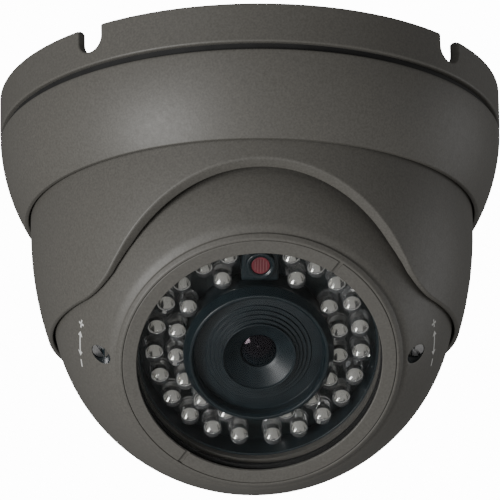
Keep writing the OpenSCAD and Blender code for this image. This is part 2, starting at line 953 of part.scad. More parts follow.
// Outline of the bracket's plate: a hub, an arm to the gears and four legs
module bracket_outline() {
    arm_w = 11;
    leg_w = 8;
    arm_x = spindle_x + 4;
    leg_x = post_at + 3.5;
    difference() {
        union() {
            circle(r = spacer_r + 4);
            translate([-arm_x, -arm_w / 2]) square([2 * arm_x, arm_w]);
            for (a = [45, 135])
                rotate(a) translate([-leg_x, -leg_w / 2]) square([2 * leg_x, leg_w]);
        }
        circle(r = spigot_r);
        for (side = [-1, 1])
            translate([side * spindle_x, 0]) circle(r = axle_r + run_fit);
        for (a = post_angles)
            rotate(a) translate([post_at, 0]) circle(r = stud_r + 0.15);
    }
}

module gear_bracket() {
    color(bright_metal)
        in_eyeball()
            union() {
                translate([0, 0, bracket_back]) linear_extrude(bracket_t) bracket_outline();
                idler_axle(-idler_x, focus_w);
                idler_axle(idler_x, zoom_w);
            }
}

module idler_axle(x, plane) {
    translate([x, 0, 0]) {
        rod(axle_step_r, bracket_front - bond, plane - ring_gap);
        rod(axle_r, bracket_front - bond, plane + gear_w + 1.2);
    }
}

module idler_clips() {
    color(bright_metal)
        in_eyeball()
            for (place = [[-idler_x, focus_w], [idler_x, zoom_w]])
                translate([place[0], 0, 0])
                    ring(axle_r + 1.2, axle_r, place[1] + gear_w + ring_gap,
                        place[1] + gear_w + ring_gap + clip_t);
}

module bracket_standoffs() {
    color(bright_metal)
        in_eyeball()
            at_angles(post_angles)
                translate([post_at, 0, 0])
                    difference() {
                        union() {
                            translate([0, 0, bracket_front])
                                cylinder(r = 2.9, h = board_back - bracket_front, $fn = 6);
                            rod(stud_r, board_back - bond, board_front + stud_len);
                        }
                        rod(stud_r, bracket_front - 1, bracket_front + 7);
                    }
}

module bracket_screws() {
    color(bright_metal)
        in_eyeball()
            at_angles(post_angles)
                translate([post_at, 0, 0])
                    difference() {
                        union() {
                            rod(stud_r, bracket_back - bond, bracket_front + 6);
                            rod(2.3, bracket_back - 1.6, bracket_back);
                        }
                        translate([-0.3, -3, bracket_back - 2]) cube([0.6, 6, 1.2]);
                    }
}

// ---- Adjuster gears ----

function inv_deg(a) = tan(a) * 180 / PI - a;

// Half angle of a tooth at radius r
function half_tooth(r, pitch_r, teeth) =
    let (base = pitch_r * cos(pressure_angle), a = acos(min(1, base / r)))
    90 / teeth - (backlash / 4) / pitch_r * 180 / PI + inv_deg(pressure_angle) - inv_deg(a);

// Outline of an involute gear with a tooth on +X
function gear_points(teeth) =
    let (pitch_r = gear_module * teeth / 2,
        base = pitch_r * cos(pressure_angle),
        root = pitch_r - 1.25 * gear_module,
        tip = pitch_r + gear_module * 0.95,
        low = max(root, base) + 0.001,
        radii = [for (i = [0:4]) low + (tip - low) * i / 4])
    [for (k = [0:teeth - 1])
        let (mid = 360 * k / teeth, foot = half_tooth(low, pitch_r, teeth))
        each concat(
            [root * [cos(mid - foot - 1 / teeth), sin(mid - foot - 1 / teeth)]],
            [for (r = radii) let (h = half_tooth(r, pitch_r, teeth)) r * [cos(mid - h), sin(mid - h)]],
            [for (i = [4:-1:0]) let (h = half_tooth(radii[i], pitch_r, teeth))
                radii[i] * [cos(mid + h), sin(mid + h)]],
            [root * [cos(mid + foot + 1 / teeth), sin(mid + foot + 1 / teeth)]])];

module gear(teeth, turn) {
    rotate([0, 0, turn]) linear_extrude(gear_w) polygon(gear_points(teeth));
}

module lens_ring(plane) {
    in_eyeball()
        translate([0, 0, plane])
            difference() {
                gear(ring_teeth, 0);
                translate([0, 0, -1]) cylinder(r = ring_bore_r, h = gear_w + 2);
            }
}

module idler(x, plane) {
    in_eyeball()
        translate([x, 0, plane])
            difference() {
                gear(idler_teeth, 180 / idler_teeth);
                translate([0, 0, -1]) cylinder(r = axle_r + run_fit, h = gear_w + 2);
            }
}

module spindle(x, plane) {
    in_eyeball()
        translate([x, 0, 0])
            difference() {
                union() {
                    translate([0, 0, plane]) gear(pinion_teeth, 0);
                    rod(axle_r, bracket_back - 1, head_front - 1);
                    rod(axle_r + 1, bracket_front + 0.1, plane + bond);
                    rod(head_r, head_front - head_t, head_front);
                }
                rotate([0, 0, 35]) translate([-0.4, -5, head_front - 0.9]) cube([0.8, 10, 2]);
            }
}

module focus_ring() { color([0.2, 0.2, 0.21]) lens_ring(focus_w); }
module zoom_ring() { color([0.2, 0.2, 0.21]) lens_ring(zoom_w); }
module focus_idler() { color(nylon) idler(-idler_x, focus_w); }
module zoom_idler() { color(nylon) idler(idler_x, zoom_w); }
module focus_spindle() { color(bright_metal) spindle(-spindle_x, focus_w); }
module zoom_spindle() { color(bright_metal) spindle(spindle_x, zoom_w); }

mounting_base();
base_gasket();
cable_grommet();
cover_seal();
cover();
lock_screw();
pan_slip_ring();
pan_retainer();
retainer_screws();
shroud();
ball_front_shell();
ball_rear_shell();
shell_gasket();
shell_screws();
ball_gland();
pivot_pins();
pivot_washers();
bezel_ring();
front_glass();
glass_gasket();
lamp_board();
lamp_skirt();
lamps_outer();
lamps_inner();
sensor_holder();
light_sensor();
lens_sleeve();
lens_nose();
front_lens();
lens_barrel();
rear_lens();
ring_spacer();
lens_mount();
image_sensor();
sensor_board();
processor_board();
board_spacers();
board_screws();
gear_bracket();
bracket_standoffs();
bracket_screws();
idler_clips();
focus_ring();
focus_idler();
focus_spindle();
zoom_ring();
zoom_idler();
zoom_spindle();
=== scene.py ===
"""Looks of a dome security camera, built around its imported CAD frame.

The CAD parts stay where the frame puts them. The painted shells, the window, the lamps, the light sensor
and the lens get detailed meshes of their own, and every other part gets a procedural finish.
Local sizes are in millimetres; the finished meshes are in metres.
"""

from __future__ import annotations

import json
import logging
import math
from collections.abc import Callable, Sequence
from dataclasses import dataclass
from enum import Enum

import bmesh
import bpy
from mathutils import Matrix, Vector

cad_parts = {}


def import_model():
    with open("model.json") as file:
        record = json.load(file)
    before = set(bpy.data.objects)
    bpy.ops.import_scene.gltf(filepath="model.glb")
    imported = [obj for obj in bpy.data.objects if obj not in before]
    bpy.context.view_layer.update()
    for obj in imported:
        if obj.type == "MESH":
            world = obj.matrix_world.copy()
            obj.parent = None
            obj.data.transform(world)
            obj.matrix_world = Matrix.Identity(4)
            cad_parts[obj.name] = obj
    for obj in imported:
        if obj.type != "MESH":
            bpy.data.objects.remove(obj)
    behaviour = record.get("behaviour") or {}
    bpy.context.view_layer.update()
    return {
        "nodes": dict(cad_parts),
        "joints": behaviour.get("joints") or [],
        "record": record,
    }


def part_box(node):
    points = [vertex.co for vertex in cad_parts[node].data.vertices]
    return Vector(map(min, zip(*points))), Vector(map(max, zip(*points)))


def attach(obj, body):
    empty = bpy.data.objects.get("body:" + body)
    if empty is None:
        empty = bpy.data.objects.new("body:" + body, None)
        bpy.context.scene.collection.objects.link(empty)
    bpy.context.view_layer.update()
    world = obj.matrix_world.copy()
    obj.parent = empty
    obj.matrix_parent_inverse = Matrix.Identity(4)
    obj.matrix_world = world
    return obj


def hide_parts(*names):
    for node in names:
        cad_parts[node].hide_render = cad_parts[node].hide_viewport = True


LOG = logging.getLogger("dome_camera")
MM = 0.001
FULL_TURN = 2 * math.pi
Point = tuple[float, float]
Colour = tuple[float, float, float]


# ---------------------------------------------------------------- finishes


class Recipe:
    """A material under construction: one Principled shader and the nodes that feed it."""

    def __init__(self, name: str) -> None:
        """Starts an empty node tree.

        Args:
            name: Name of the material.
        """
        self.material = bpy.data.materials.new(name)
        self.material.use_nodes = True
        self.tree = self.material.node_tree
        self.tree.nodes.clear()
        self.shader = self.node("ShaderNodeBsdfPrincipled")
        self.output = self.node("ShaderNodeOutputMaterial")
        self.link(self.shader.outputs["BSDF"], self.output.inputs["Surface"])
        self.place = self.node("ShaderNodeTexCoord").outputs["Object"]

    def node(self, kind: str, **values: object) -> bpy.types.Node:
        """Adds a node.

        Args:
            kind: Blender's name of the node type.
            **values: Attributes to set on it.

        Returns:
            The new node.
        """
        made = self.tree.nodes.new(kind)
        for key, value in values.items():
            setattr(made, key, value)
        return made

    def link(self, source: bpy.types.NodeSocket, target: bpy.types.NodeSocket) -> None:
        """Joins an output to an input."""
        self.tree.links.new(source, target)

    def surface(self, **values: object) -> None:
        """Sets even values on the shader's own sockets, with underscores for the spaces in their names."""
        for key, value in values.items():
            self.shader.inputs[key.replace("_", " ")].default_value = value

    def noise(
        self, size_mm: float, detail: float = 2.0, stretch: Sequence[float] = (1, 1, 1)
    ) -> bpy.types.NodeSocket:
        """Adds a noise pattern.

        Args:
            size_mm: Rough size of its features.
            detail: Octaves of finer noise.
            stretch: Scale along X, Y and Z.

        Returns:
            The pattern's height, 0 to 1.
        """
        mapping = self.node("ShaderNodeMapping")
        mapping.inputs["Scale"].default_value = stretch
        self.link(self.place, mapping.inputs["Vector"])
        pattern = self.node("ShaderNodeTexNoise")
        pattern.inputs["Scale"].default_value = 1 / (size_mm * MM)
        pattern.inputs["Detail"].default_value = detail
        self.link(mapping.outputs["Vector"], pattern.inputs["Vector"])
        return pattern.outputs["Fac"]

    def ramp(
        self, source: bpy.types.NodeSocket, low: Colour, high: Colour, start: float = 0.3, end: float = 0.7
    ) -> bpy.types.NodeSocket:
        """Turns a height into a colour between two others.

        Args:
            source: The height.
            low: Colour at and below start.
            high: Colour at and above end.
            start: Height of the low colour.
            end: Height of the high colour.

        Returns:
            The colour.
        """
        ramp = self.node("ShaderNodeValToRGB")
        stops = ramp.color_ramp.elements
        stops[0].position, stops[0].color = start, (*low, 1)
        stops[1].position, stops[1].color = end, (*high, 1)
        self.link(source, ramp.inputs["Fac"])
        return ramp.outputs["Color"]

    def between(self, source: bpy.types.NodeSocket, low: float, high: float) -> bpy.types.NodeSocket:
        """Maps a height from 0..1 to low..high."""
        span = self.node("ShaderNodeMapRange")
        span.inputs["To Min"].default_value = low
        span.inputs["To Max"].default_value = high
        self.link(source, span.inputs["Value"])
        return span.outputs["Result"]

    def bump(self, *layers: tuple[bpy.types.NodeSocket, float]) -> None:
        """Stacks relief on the surface.

        Args:
            *layers: Pairs of a height and its depth in millimetres.
        """
        below = None
        for height, depth in layers:
            relief = self.node("ShaderNodeBump")
            relief.inputs["Distance"].default_value = depth * MM
            self.link(height, relief.inputs["Height"])
            if below is not None:
                self.link(below, relief.inputs["Normal"])
            below = relief.outputs["Normal"]
        self.link(below, self.shader.inputs["Normal"])


@dataclass(frozen=True)
class PowderCoat:
    """Textured powder coat: a fine speckle on a fine orange peel."""

    name: str = "powder_coat"
    light: Colour = (0.132, 0.126, 0.113)
    dark: Colour = (0.100, 0.095, 0.085)
    grain_mm: float = 0.55
    peel_mm: float = 1.6

    def build(self) -> bpy.types.Material:
        """Makes the material."""
        recipe = Recipe(self.name)
        grain = recipe.noise(self.grain_mm, 3.0)
        peel = recipe.noise(self.peel_mm, 1.0)
        recipe.link(recipe.ramp(grain, self.dark, self.light, 0.32, 0.68), recipe.shader.inputs["Base Color"])
        recipe.link(recipe.between(peel, 0.44, 0.54), recipe.shader.inputs["Roughness"])
        recipe.surface(Specular_IOR_Level=0.5)
        recipe.bump((peel, 0.012), (grain, 0.02))
        return recipe.material


@dataclass(frozen=True)
class MouldedPlastic:
    """Moulded plastic or rubber: an even colour with a fine spark-eroded grain."""

    name: str
    light: Colour
    dark: Colour
    roughness: float
    grain_mm: float = 0.3
    depth_mm: float = 0.01
    specular: float = 0.5

    def build(self) -> bpy.types.Material:
        """Makes the material."""
        recipe = Recipe(self.name)
        grain = recipe.noise(self.grain_mm, 2.0)
        cloud = recipe.noise(self.grain_mm * 14, 2.0)
        recipe.link(recipe.ramp(cloud, self.dark, self.light), recipe.shader.inputs["Base Color"])
        roughness = recipe.between(cloud, self.roughness - 0.05, self.roughness + 0.05)
        recipe.link(roughness, recipe.shader.inputs["Roughness"])
        recipe.surface(Specular_IOR_Level=self.specular)
        recipe.bump((grain, self.depth_mm))
        return recipe.material


@dataclass(frozen=True)
class Metal:
    """Bare or plated metal with fine machining lines."""

    name: str
    light: Colour
    dark: Colour
    roughness: float
    line_mm: float = 0.25
    stretch: tuple[float, float, float] = (1, 1, 0.15)

    def build(self) -> bpy.types.Material:
        """Makes the material."""
        recipe = Recipe(self.name)
        lines = recipe.noise(self.line_mm, 2.0, self.stretch)
        cloud = recipe.noise(self.line_mm * 12, 3.0)
        recipe.link(recipe.ramp(cloud, self.dark, self.light), recipe.shader.inputs["Base Color"])
        roughness = recipe.between(cloud, self.roughness - 0.07, self.roughness + 0.07)
        recipe.link(roughness, recipe.shader.inputs["Roughness"])
        recipe.surface(Metallic=1.0)
        recipe.bump((lines, 0.004))
        return recipe.material


@dataclass(frozen=True)
class CircuitBoard:
    """Solder mask over copper tracks, with tinned pads."""

    name: str = "circuit_board"
    mask: Colour = (0.006, 0.012, 0.014)
    track: Colour = (0.012, 0.024, 0.026)
    pad: Colour = (0.5, 0.5, 0.48)
    pitch_mm: float = 2.2

    def build(self) -> bpy.types.Material:
        """Makes the material."""
        recipe = Recipe(self.name)
        tracks = recipe.node("ShaderNodeTexVoronoi", distance="MANHATTAN", feature="F1")
        tracks.inputs["Scale"].default_value = 1 / (self.pitch_mm * MM)
        recipe.link(recipe.place, tracks.inputs["Vector"])
        copper = recipe.ramp(tracks.outputs["Distance"], self.track, self.mask, 0.42, 0.46)
        pads = recipe.ramp(tracks.outputs["Distance"], (1, 1, 1), (0, 0, 0), 0.07, 0.09)
        mix = recipe.node("ShaderNodeMix", data_type="RGBA")
        recipe.link(pads, mix.inputs["Factor"])
        recipe.link(copper, mix.inputs["A"])
        mix.inputs["B"].default_value = (*self.pad, 1)
        recipe.link(mix.outputs["Result"], recipe.shader.inputs["Base Color"])
        recipe.surface(Roughness=0.32)
        recipe.bump((tracks.outputs["Distance"], 0.03))
        return recipe.material


@dataclass(frozen=True)
class ThinGlass:
    """A clear pane that lets light straight through and mirrors at a slant."""

    name: str = "clear_glass"
    tint: Colour = (0.96, 0.98, 0.98)
    index: float = 1.22

    def build(self) -> bpy.types.Material:
        """Makes the material."""
        recipe = Recipe(self.name)
        gloss = recipe.node("ShaderNodeFresnel")
        gloss.inputs["IOR"].default_value = self.index
        smudge = recipe.noise(9.0, 3.0)
        recipe.link(gloss.outputs["Fac"], recipe.shader.inputs["Alpha"])
        recipe.link(recipe.between(smudge, 0.015, 0.05), recipe.shader.inputs["Roughness"])
        recipe.surface(Base_Color=(*self.tint, 1), Metallic=1.0)
        return recipe.material


@dataclass(frozen=True)
class LampEpoxy:
    """Clear moulded epoxy of the lamps, with faint flow lines."""

    name: str = "lamp_epoxy"
    tint: Colour = (0.97, 0.985, 1.0)
    index: float = 1.52

    def build(self) -> bpy.types.Material:
        """Makes the material."""
        recipe = Recipe(self.name)
        flow = recipe.noise(1.5, 1.0)
        recipe.surface(Base_Color=(*self.tint, 1), Transmission_Weight=0.92, IOR=self.index)
        recipe.link(recipe.between(flow, 0.0, 0.05), recipe.shader.inputs["Roughness"])
        recipe.bump((flow, 0.02))
        return recipe.material


@dataclass(frozen=True)
class CoatedLens:
    """Dark glass with a violet anti-reflection coating, its colour lighter towards the outline as a painted
    reflection.
    """

    name: str = "coated_lens"
    # depth is the colour seen head-on; edge is a painted reflection colour that the rim takes at grazing
    # angles.
    depth: Colour = (0.004, 0.004, 0.006)
    edge: Colour = (0.022, 0.034, 0.040)
    sheen: Colour = (0.80, 0.62, 0.72)

    def build(self) -> bpy.types.Material:
        """Makes the material."""
        recipe = Recipe(self.name)
        slant = recipe.node("ShaderNodeLayerWeight")
        slant.inputs["Blend"].default_value = 0.45
        # Painted reflection: the base colour turns from the dark head-on colour to a lighter cyan one towards
        # the outline.
        colour = recipe.ramp(slant.outputs["Facing"], self.depth, self.edge, 0.1, 0.9)
        recipe.link(colour, recipe.shader.inputs["Base Color"])
        smudge = recipe.noise(2.0, 2.0)
        recipe.link(recipe.between(smudge, 0.02, 0.06), recipe.shader.inputs["Roughness"])
        recipe.surface(Specular_Tint=(*self.sheen, 1), Specular_IOR_Level=0.3, IOR=1.5)
        return recipe.material


@dataclass(frozen=True)
class Printed:
    """Pad-printed ink, slightly uneven."""

    name: str
    light: Colour
    dark: Colour

    def build(self) -> bpy.types.Material:
        """Makes the material."""
        recipe = Recipe(self.name)
        mottle = recipe.noise(0.4, 2.0)
        recipe.link(recipe.ramp(mottle, self.dark, self.light), recipe.shader.inputs["Base Color"])
        recipe.surface(Roughness=0.6)
        recipe.bump((mottle, 0.01))
        return recipe.material


class Slot(Enum):
    """The record's material slots."""

    PAINT = "powder_coat"
    RUBBER = "rubber"
    PLASTIC = "black_plastic"
    NYLON = "nylon"
    BOARD = "circuit_board"
    STEEL = "steel"
    ALUMINIUM = "aluminium"
    ANODISED = "black_anodised"
    GLASS = "clear_glass"
    EPOXY = "lamp_epoxy"
    LENS = "coated_lens"
    PHOTOCELL = "photocell"
    SILICON = "silicon"


class Finishes:
    """Every finish of the camera, built once."""

    def __init__(self) -> None:
        """Builds one material for each slot, and the few that belong to single pieces."""
        recipes = {
            Slot.PAINT: PowderCoat(),
            Slot.RUBBER: MouldedPlastic(
                "rubber", (0.018, 0.018, 0.018), (0.010, 0.010, 0.010), 0.72, grain_mm=0.4, depth_mm=0.02
            ),
            Slot.PLASTIC: MouldedPlastic("black_plastic", (0.014, 0.024, 0.029), (0.009, 0.016, 0.020), 0.3),
            Slot.NYLON: MouldedPlastic("nylon", (0.72, 0.70, 0.62), (0.62, 0.60, 0.52), 0.45),
            Slot.BOARD: CircuitBoard(),
            Slot.STEEL: Metal("steel", (0.62, 0.62, 0.62), (0.46, 0.46, 0.47), 0.28),
            Slot.ALUMINIUM: Metal("aluminium", (0.70, 0.70, 0.71), (0.56, 0.56, 0.58), 0.35),
            Slot.ANODISED: MouldedPlastic(
                "black_anodised",
                (0.012, 0.021, 0.026),
                (0.007, 0.013, 0.017),
                0.42,
                grain_mm=0.2,
                depth_mm=0.003,
            ),
            Slot.GLASS: ThinGlass(),
            Slot.EPOXY: LampEpoxy(),
            Slot.LENS: CoatedLens(),
            Slot.PHOTOCELL: MouldedPlastic("photocell", (0.24, 0.035, 0.05), (0.15, 0.02, 0.03), 0.3, 0.25),
            Slot.SILICON: Metal("silicon", (0.12, 0.16, 0.24), (0.08, 0.10, 0.16), 0.2, 0.1),
        }
        self.by_slot = {slot: recipe.build() for slot, recipe in recipes.items()}
        self.reflector = Metal("lamp_reflector", (0.99, 0.98, 0.95), (0.93, 0.92, 0.88), 0.12, 0.2).build()
        self.ink = Printed("white_ink", (0.78, 0.78, 0.76), (0.66, 0.66, 0.64)).build()
        self.electrode = Metal("cell_electrode", (0.42, 0.26, 0.26), (0.34, 0.20, 0.20), 0.35).build()

    def __getitem__(self, slot: Slot) -> bpy.types.Material:
        """Gives the material of a slot."""
        return self.by_slot[slot]

    def dress(self, piece: bpy.types.Object, slot: Slot, finish: bpy.types.Material | None = None) -> None:
        """Puts a finish on a piece.

        Args:
            piece: The piece.
            slot: The record's slot it belongs to.
            finish: Material to use instead of the slot's own.
        """
        piece.data.materials.clear()
        piece.data.materials.append(finish or self.by_slot[slot])

    def dress_frame(self, nodes: dict[str, bpy.types.Object], subparts: list[dict[str, str]]) -> None:
        """Gives every CAD node its slot's finish."""
        for row in subparts:
            self.dress(nodes[row["node"]], Slot(row["material_slot"]))


# ---------------------------------------------------------------- mesh tools


def filleted(
    outline: Sequence[tuple[float, float, float]], closed: bool = True, steps: int = 4
) -> list[Point]:
    """Rounds the corners of an outline.

    Args:
        outline: Points with the radius that rounds each, 0 to leave it.
        closed: Whether the outline is a loop.
        steps: Segments of each round corner.

    Returns:
        The outline's points, with a support point just past each end of a round corner.
    """
    support = 0.12
    count = len(outline)
    points: list[Point] = []
    for i, (x, y, radius) in enumerate(outline):
        here = Vector((x, y))
        if radius <= 0 or (not closed and i in (0, count - 1)):
            points.append((x, y))
            continue
        before = Vector(outline[i - 1][:2]) - here
        after = Vector(outline[(i + 1) % count][:2]) - here
        to_before, to_after = before.normalized(), after.normalized()
        opening = to_before.angle(to_after)
        turn = math.pi - opening
        reach = min(radius / math.tan(opening / 2), 0.48 * before.length, 0.48 * after.length)
        start, end = here + to_before * reach, here + to_after * reach
        centre = here + (to_before + to_after).normalized() * reach / math.cos(opening / 2)
        if before.length > 3 * (reach + support):
            points.append(tuple(start + to_before * support))
        for k in range(steps + 1):
            swing = turn * k / steps
            spoke = (start - centre) * math.sin(turn - swing) + (end - centre) * math.sin(swing)
            points.append(tuple(centre + spoke / math.sin(turn)))
        if after.length > 3 * (reach + support):
            points.append(tuple(end + to_after * support))
    return points


def arc(
    centre: Point, radius: float, start: float, end: float, steps: int
) -> list[tuple[float, float, float]]:
    """Points along an arc, as outline corners that stay sharp.

    Args:
        centre: Centre of the arc.
        radius: Its radius.
        start: First angle in radians.
        end: Last angle in radians.
        steps: Segments.

    Returns:
        The corners.
    """
    return [
        (
            centre[0] + radius * math.cos(start + (end - start) * k / steps),
            centre[1] + radius * math.sin(start + (end - start) * k / steps),
            0.0,
        )
        for k in range(steps + 1)
    ]


def circle(radius: float, height: float, columns: int) -> list[tuple[float, float, float]]:
    """Gives the points of a level circle round the local Z axis."""
    turns = [FULL_TURN * i / columns for i in range(columns)]
    return [(radius * math.cos(a), radius * math.sin(a), height) for a in turns]


class Draft:
    """A mesh being drawn in millimetres in its own frame."""

    def __init__(self) -> None:
        """Starts empty."""
        self.points: list[tuple[float, float, float]] = []
        self.faces: list[tuple[int, ...]] = []

    def add(self, points: Sequence[Sequence[float]]) -> list[int]:
        """Adds points.

        Args:
            points: Their places.

        Returns:
            Their numbers.
        """
        first = len(self.points)
        self.points.extend(tuple(p) for p in points)
        return list(range(first, len(self.points)))

    def bridge(self, one: Sequence[int], other: Sequence[int], closed: bool = True) -> None:
        """Fills the strip between two rows of points."""
        count = len(one)
        for i in range(count if closed else count - 1):
            j = (i + 1) % count
            self.faces.append((one[i], one[j], other[j], other[i]))

    def fan(self, ring: Sequence[int], centre: Sequence[float]) -> None:
        """Closes a ring of points to one centre point."""
        (hub,) = self.add([centre])
        for i, first in enumerate(ring):
            self.faces.append((first, ring[(i + 1) % len(ring)], hub))

    def lathe(self, profile: Sequence[Point], columns: int = 192, closed: bool = True) -> None:
        """Turns a profile of (radius, height) round the local Z axis.

        Args:
            profile: The outline. An open one starts and ends on the axis.
            columns: Steps round the axis.
            closed: Whether the profile is a loop.
        """
        rows = []
        ends = []
        for radius, height in profile:
            if radius < 1e-6:
                ends.append(height)
                continue
            rows.append(self.add(circle(radius, height, columns)))
        for one, other in zip(rows, rows[1:]):
            self.bridge(one, other)
        if closed:
            self.bridge(rows[-1], rows[0])
        else:
            self.fan(rows[0], (0, 0, ends[0]))
            self.fan(rows[-1], (0, 0, ends[-1]))

    def block(self, low: Sequence[float], high: Sequence[float], edge: float = 0.0) -> None:
        """Adds a box between two corners, with bevelled upright and top edges when edge is above 0."""
        x0, y0, z0 = low
        x1, y1, z1 = high
        outline = filleted([(x0, y0, edge), (x1, y0, edge), (x1, y1, edge), (x0, y1, edge)], steps=3)
        middle = ((x0 + x1) / 2, (y0 + y1) / 2)
        rows = [self.add([(x, y, z0) for x, y in outline])]
        if edge > 0:
            rows.append(self.add([(x, y, z1 - edge) for x, y in outline]))
            for k in range(1, 4):
                swing = math.pi / 2 * k / 3
                inset = edge * (1 - math.cos(swing))
                scale_x = 1 - inset / ((x1 - x0) / 2)
                scale_y = 1 - inset / ((y1 - y0) / 2)
                rows.append(
                    self.add(
                        [
                            (
                                middle[0] + (x - middle[0]) * scale_x,
                                middle[1] + (y - middle[1]) * scale_y,
                                z1 - edge + edge * math.sin(swing),
                            )
                            for x, y in outline
                        ]
                    )
                )
        else:
            rows.append(self.add([(x, y, z1) for x, y in outline]))
        for one, other in zip(rows, rows[1:]):
            self.bridge(one, other)
        self.faces.append(tuple(reversed(rows[0])))
        self.faces.append(tuple(rows[-1]))

    def build(self, name: str, place: Matrix, smooth: bool = True) -> bpy.types.Object:
        """Makes the object, with its place in its mesh.

        Args:
            name: Name of the object.
            place: From the local frame in metres to the row's frame.
            smooth: Whether it shades smoothly across shallow edges.

        Returns:
            The object.
        """
        mesh = bpy.data.meshes.new(name)
        mesh.from_pydata(self.points, [], self.faces)
        mesh.transform(place @ Matrix.Scale(MM, 4))
        work = bmesh.new()
        work.from_mesh(mesh)
        bmesh.ops.remove_doubles(work, verts=work.verts, dist=1e-7)
        bmesh.ops.recalc_face_normals(work, faces=work.faces)
        sharp = math.radians(38)
        for edge in work.edges:
            edge.smooth = len(edge.link_faces) != 2 or edge.calc_face_angle(0.0) < sharp
        for face in work.faces:
            face.smooth = smooth
        work.to_mesh(mesh)
        work.free()
        piece = bpy.data.objects.new(name, mesh)
        bpy.context.scene.collection.objects.link(piece)
        return piece


@dataclass
class TrimmedWall:
    """A wall round the vertical axis whose one edge follows a free outline, with rounded edges.

    The outline's points are (distance round the axis at reference_r, height).
    """

    reference_r: float
    outer: Callable[[float], float]
    inner: Callable[[float], float]
    edge_r: float
    rows: int = 14
    edge_steps: int = 4

    def at(self, u: float, v: float, depth: float) -> tuple[float, float, float]:
        """Gives a point of the wall, depth running from 0 on the outside to 1 on the inside."""
        radius = self.outer(v) * (1 - depth) + self.inner(v) * depth
        angle = u / self.reference_r
        return (radius * math.sin(angle), -radius * math.cos(angle), v)

    def draw(
        self, draft: Draft, outside: list[Point], inside: list[Point], far_u: list[float], far_v: float
    ) -> None:
        """Draws the wall.

        Args:
            draft: Mesh to draw in.
            outside: The outline on the outer face, once round.
            inside: The outline on the inner face, point for point.
            far_u: Where each column meets the far edge.
            far_v: Height of the far edge.
        """
        count = len(outside)
        around = FULL_TURN * self.reference_r
        inwards: list[Point] = []
        for i in range(count):
            u0, v0 = outside[i - 1]
            u1, v1 = outside[(i + 1) % count]
            du = (u1 - u0 + around / 2) % around - around / 2
            dv = v1 - v0
            length = math.hypot(du, dv)
            side = 1 if far_v > outside[i][1] else -1
            inwards.append((-dv / length * side, du / length * side))
        share = [self.edge_r / (self.outer(p[1]) - self.inner(p[1])) for p in outside]

        def edge_row(step: int, from_inside: bool) -> list[tuple[float, float, float]]:
            """Gives a row of the rounded edge, step counting from the face to the rim."""
            swing = math.pi / 2 * step / self.edge_steps
            inset = self.edge_r * (1 - math.sin(swing))
            row = []
            for i in range(count):
                f = share[i] * (1 - math.cos(swing))
                f = 1 - f if from_inside else f
                u = outside[i][0] * (1 - f) + inside[i][0] * f + inwards[i][0] * inset
                v = outside[i][1] * (1 - f) + inside[i][1] * f + inwards[i][1] * inset
                row.append(self.at(u, v, f))
            return row

        def face_row(t: float, depth: float, inset: float) -> list[tuple[float, float, float]]:
            """Gives a row between the far edge, t = 0, and the outline, t = 1."""
            toward = 1 if outside[0][1] > far_v else -1
            row = []
            for i in range(count):
                u = outside[i][0] * (1 - depth) + inside[i][0] * depth + inwards[i][0] * inset
                v = outside[i][1] * (1 - depth) + inside[i][1] * depth + inwards[i][1] * inset
                shift = (far_u[i] - u + around / 2) % around - around / 2
                row.append(self.at(u + shift * (1 - t), v * t + (far_v + toward * inset) * (1 - t), depth))
            return row

        support = self.edge_r + 0.15
        loops = [face_row(t / self.rows, 0, support) for t in range(self.rows + 1)]
        loops += [edge_row(k, False) for k in range(self.edge_steps + 1)]
        loops += [edge_row(k, True) for k in range(self.edge_steps, -1, -1)]
        loops += [face_row(1 - t / self.rows, 1, support) for t in range(self.rows + 1)]
        toward = 1 if outside[0][1] > far_v else -1
        for from_inside in (True, False):
            order = range(self.edge_steps + 1) if from_inside else range(self.edge_steps, -1, -1)
            for k in order:
                swing = math.pi / 2 * k / self.edge_steps
                inset = self.edge_r * (1 - math.sin(swing))
                row = []
                for i in range(count):
                    f = self.edge_r / (self.outer(far_v) - self.inner(far_v)) * (1 - math.cos(swing))
                    row.append(self.at(far_u[i], far_v + toward * inset, 1 - f if from_inside else f))
                loops.append(row)
        rows = [draft.add(loop) for loop in loops]
        for one, other in zip(rows, rows[1:]):
            draft.bridge(one, other)
        draft.bridge(rows[-1], rows[0])


@dataclass
class Hole:
    """A round hole through a dome, parallel to its axis."""

    x: float
    y: float
    radius: float
    floor: float
    row_start: int
    row_end: int
    half_columns: int
    edge_r: float = 0.3


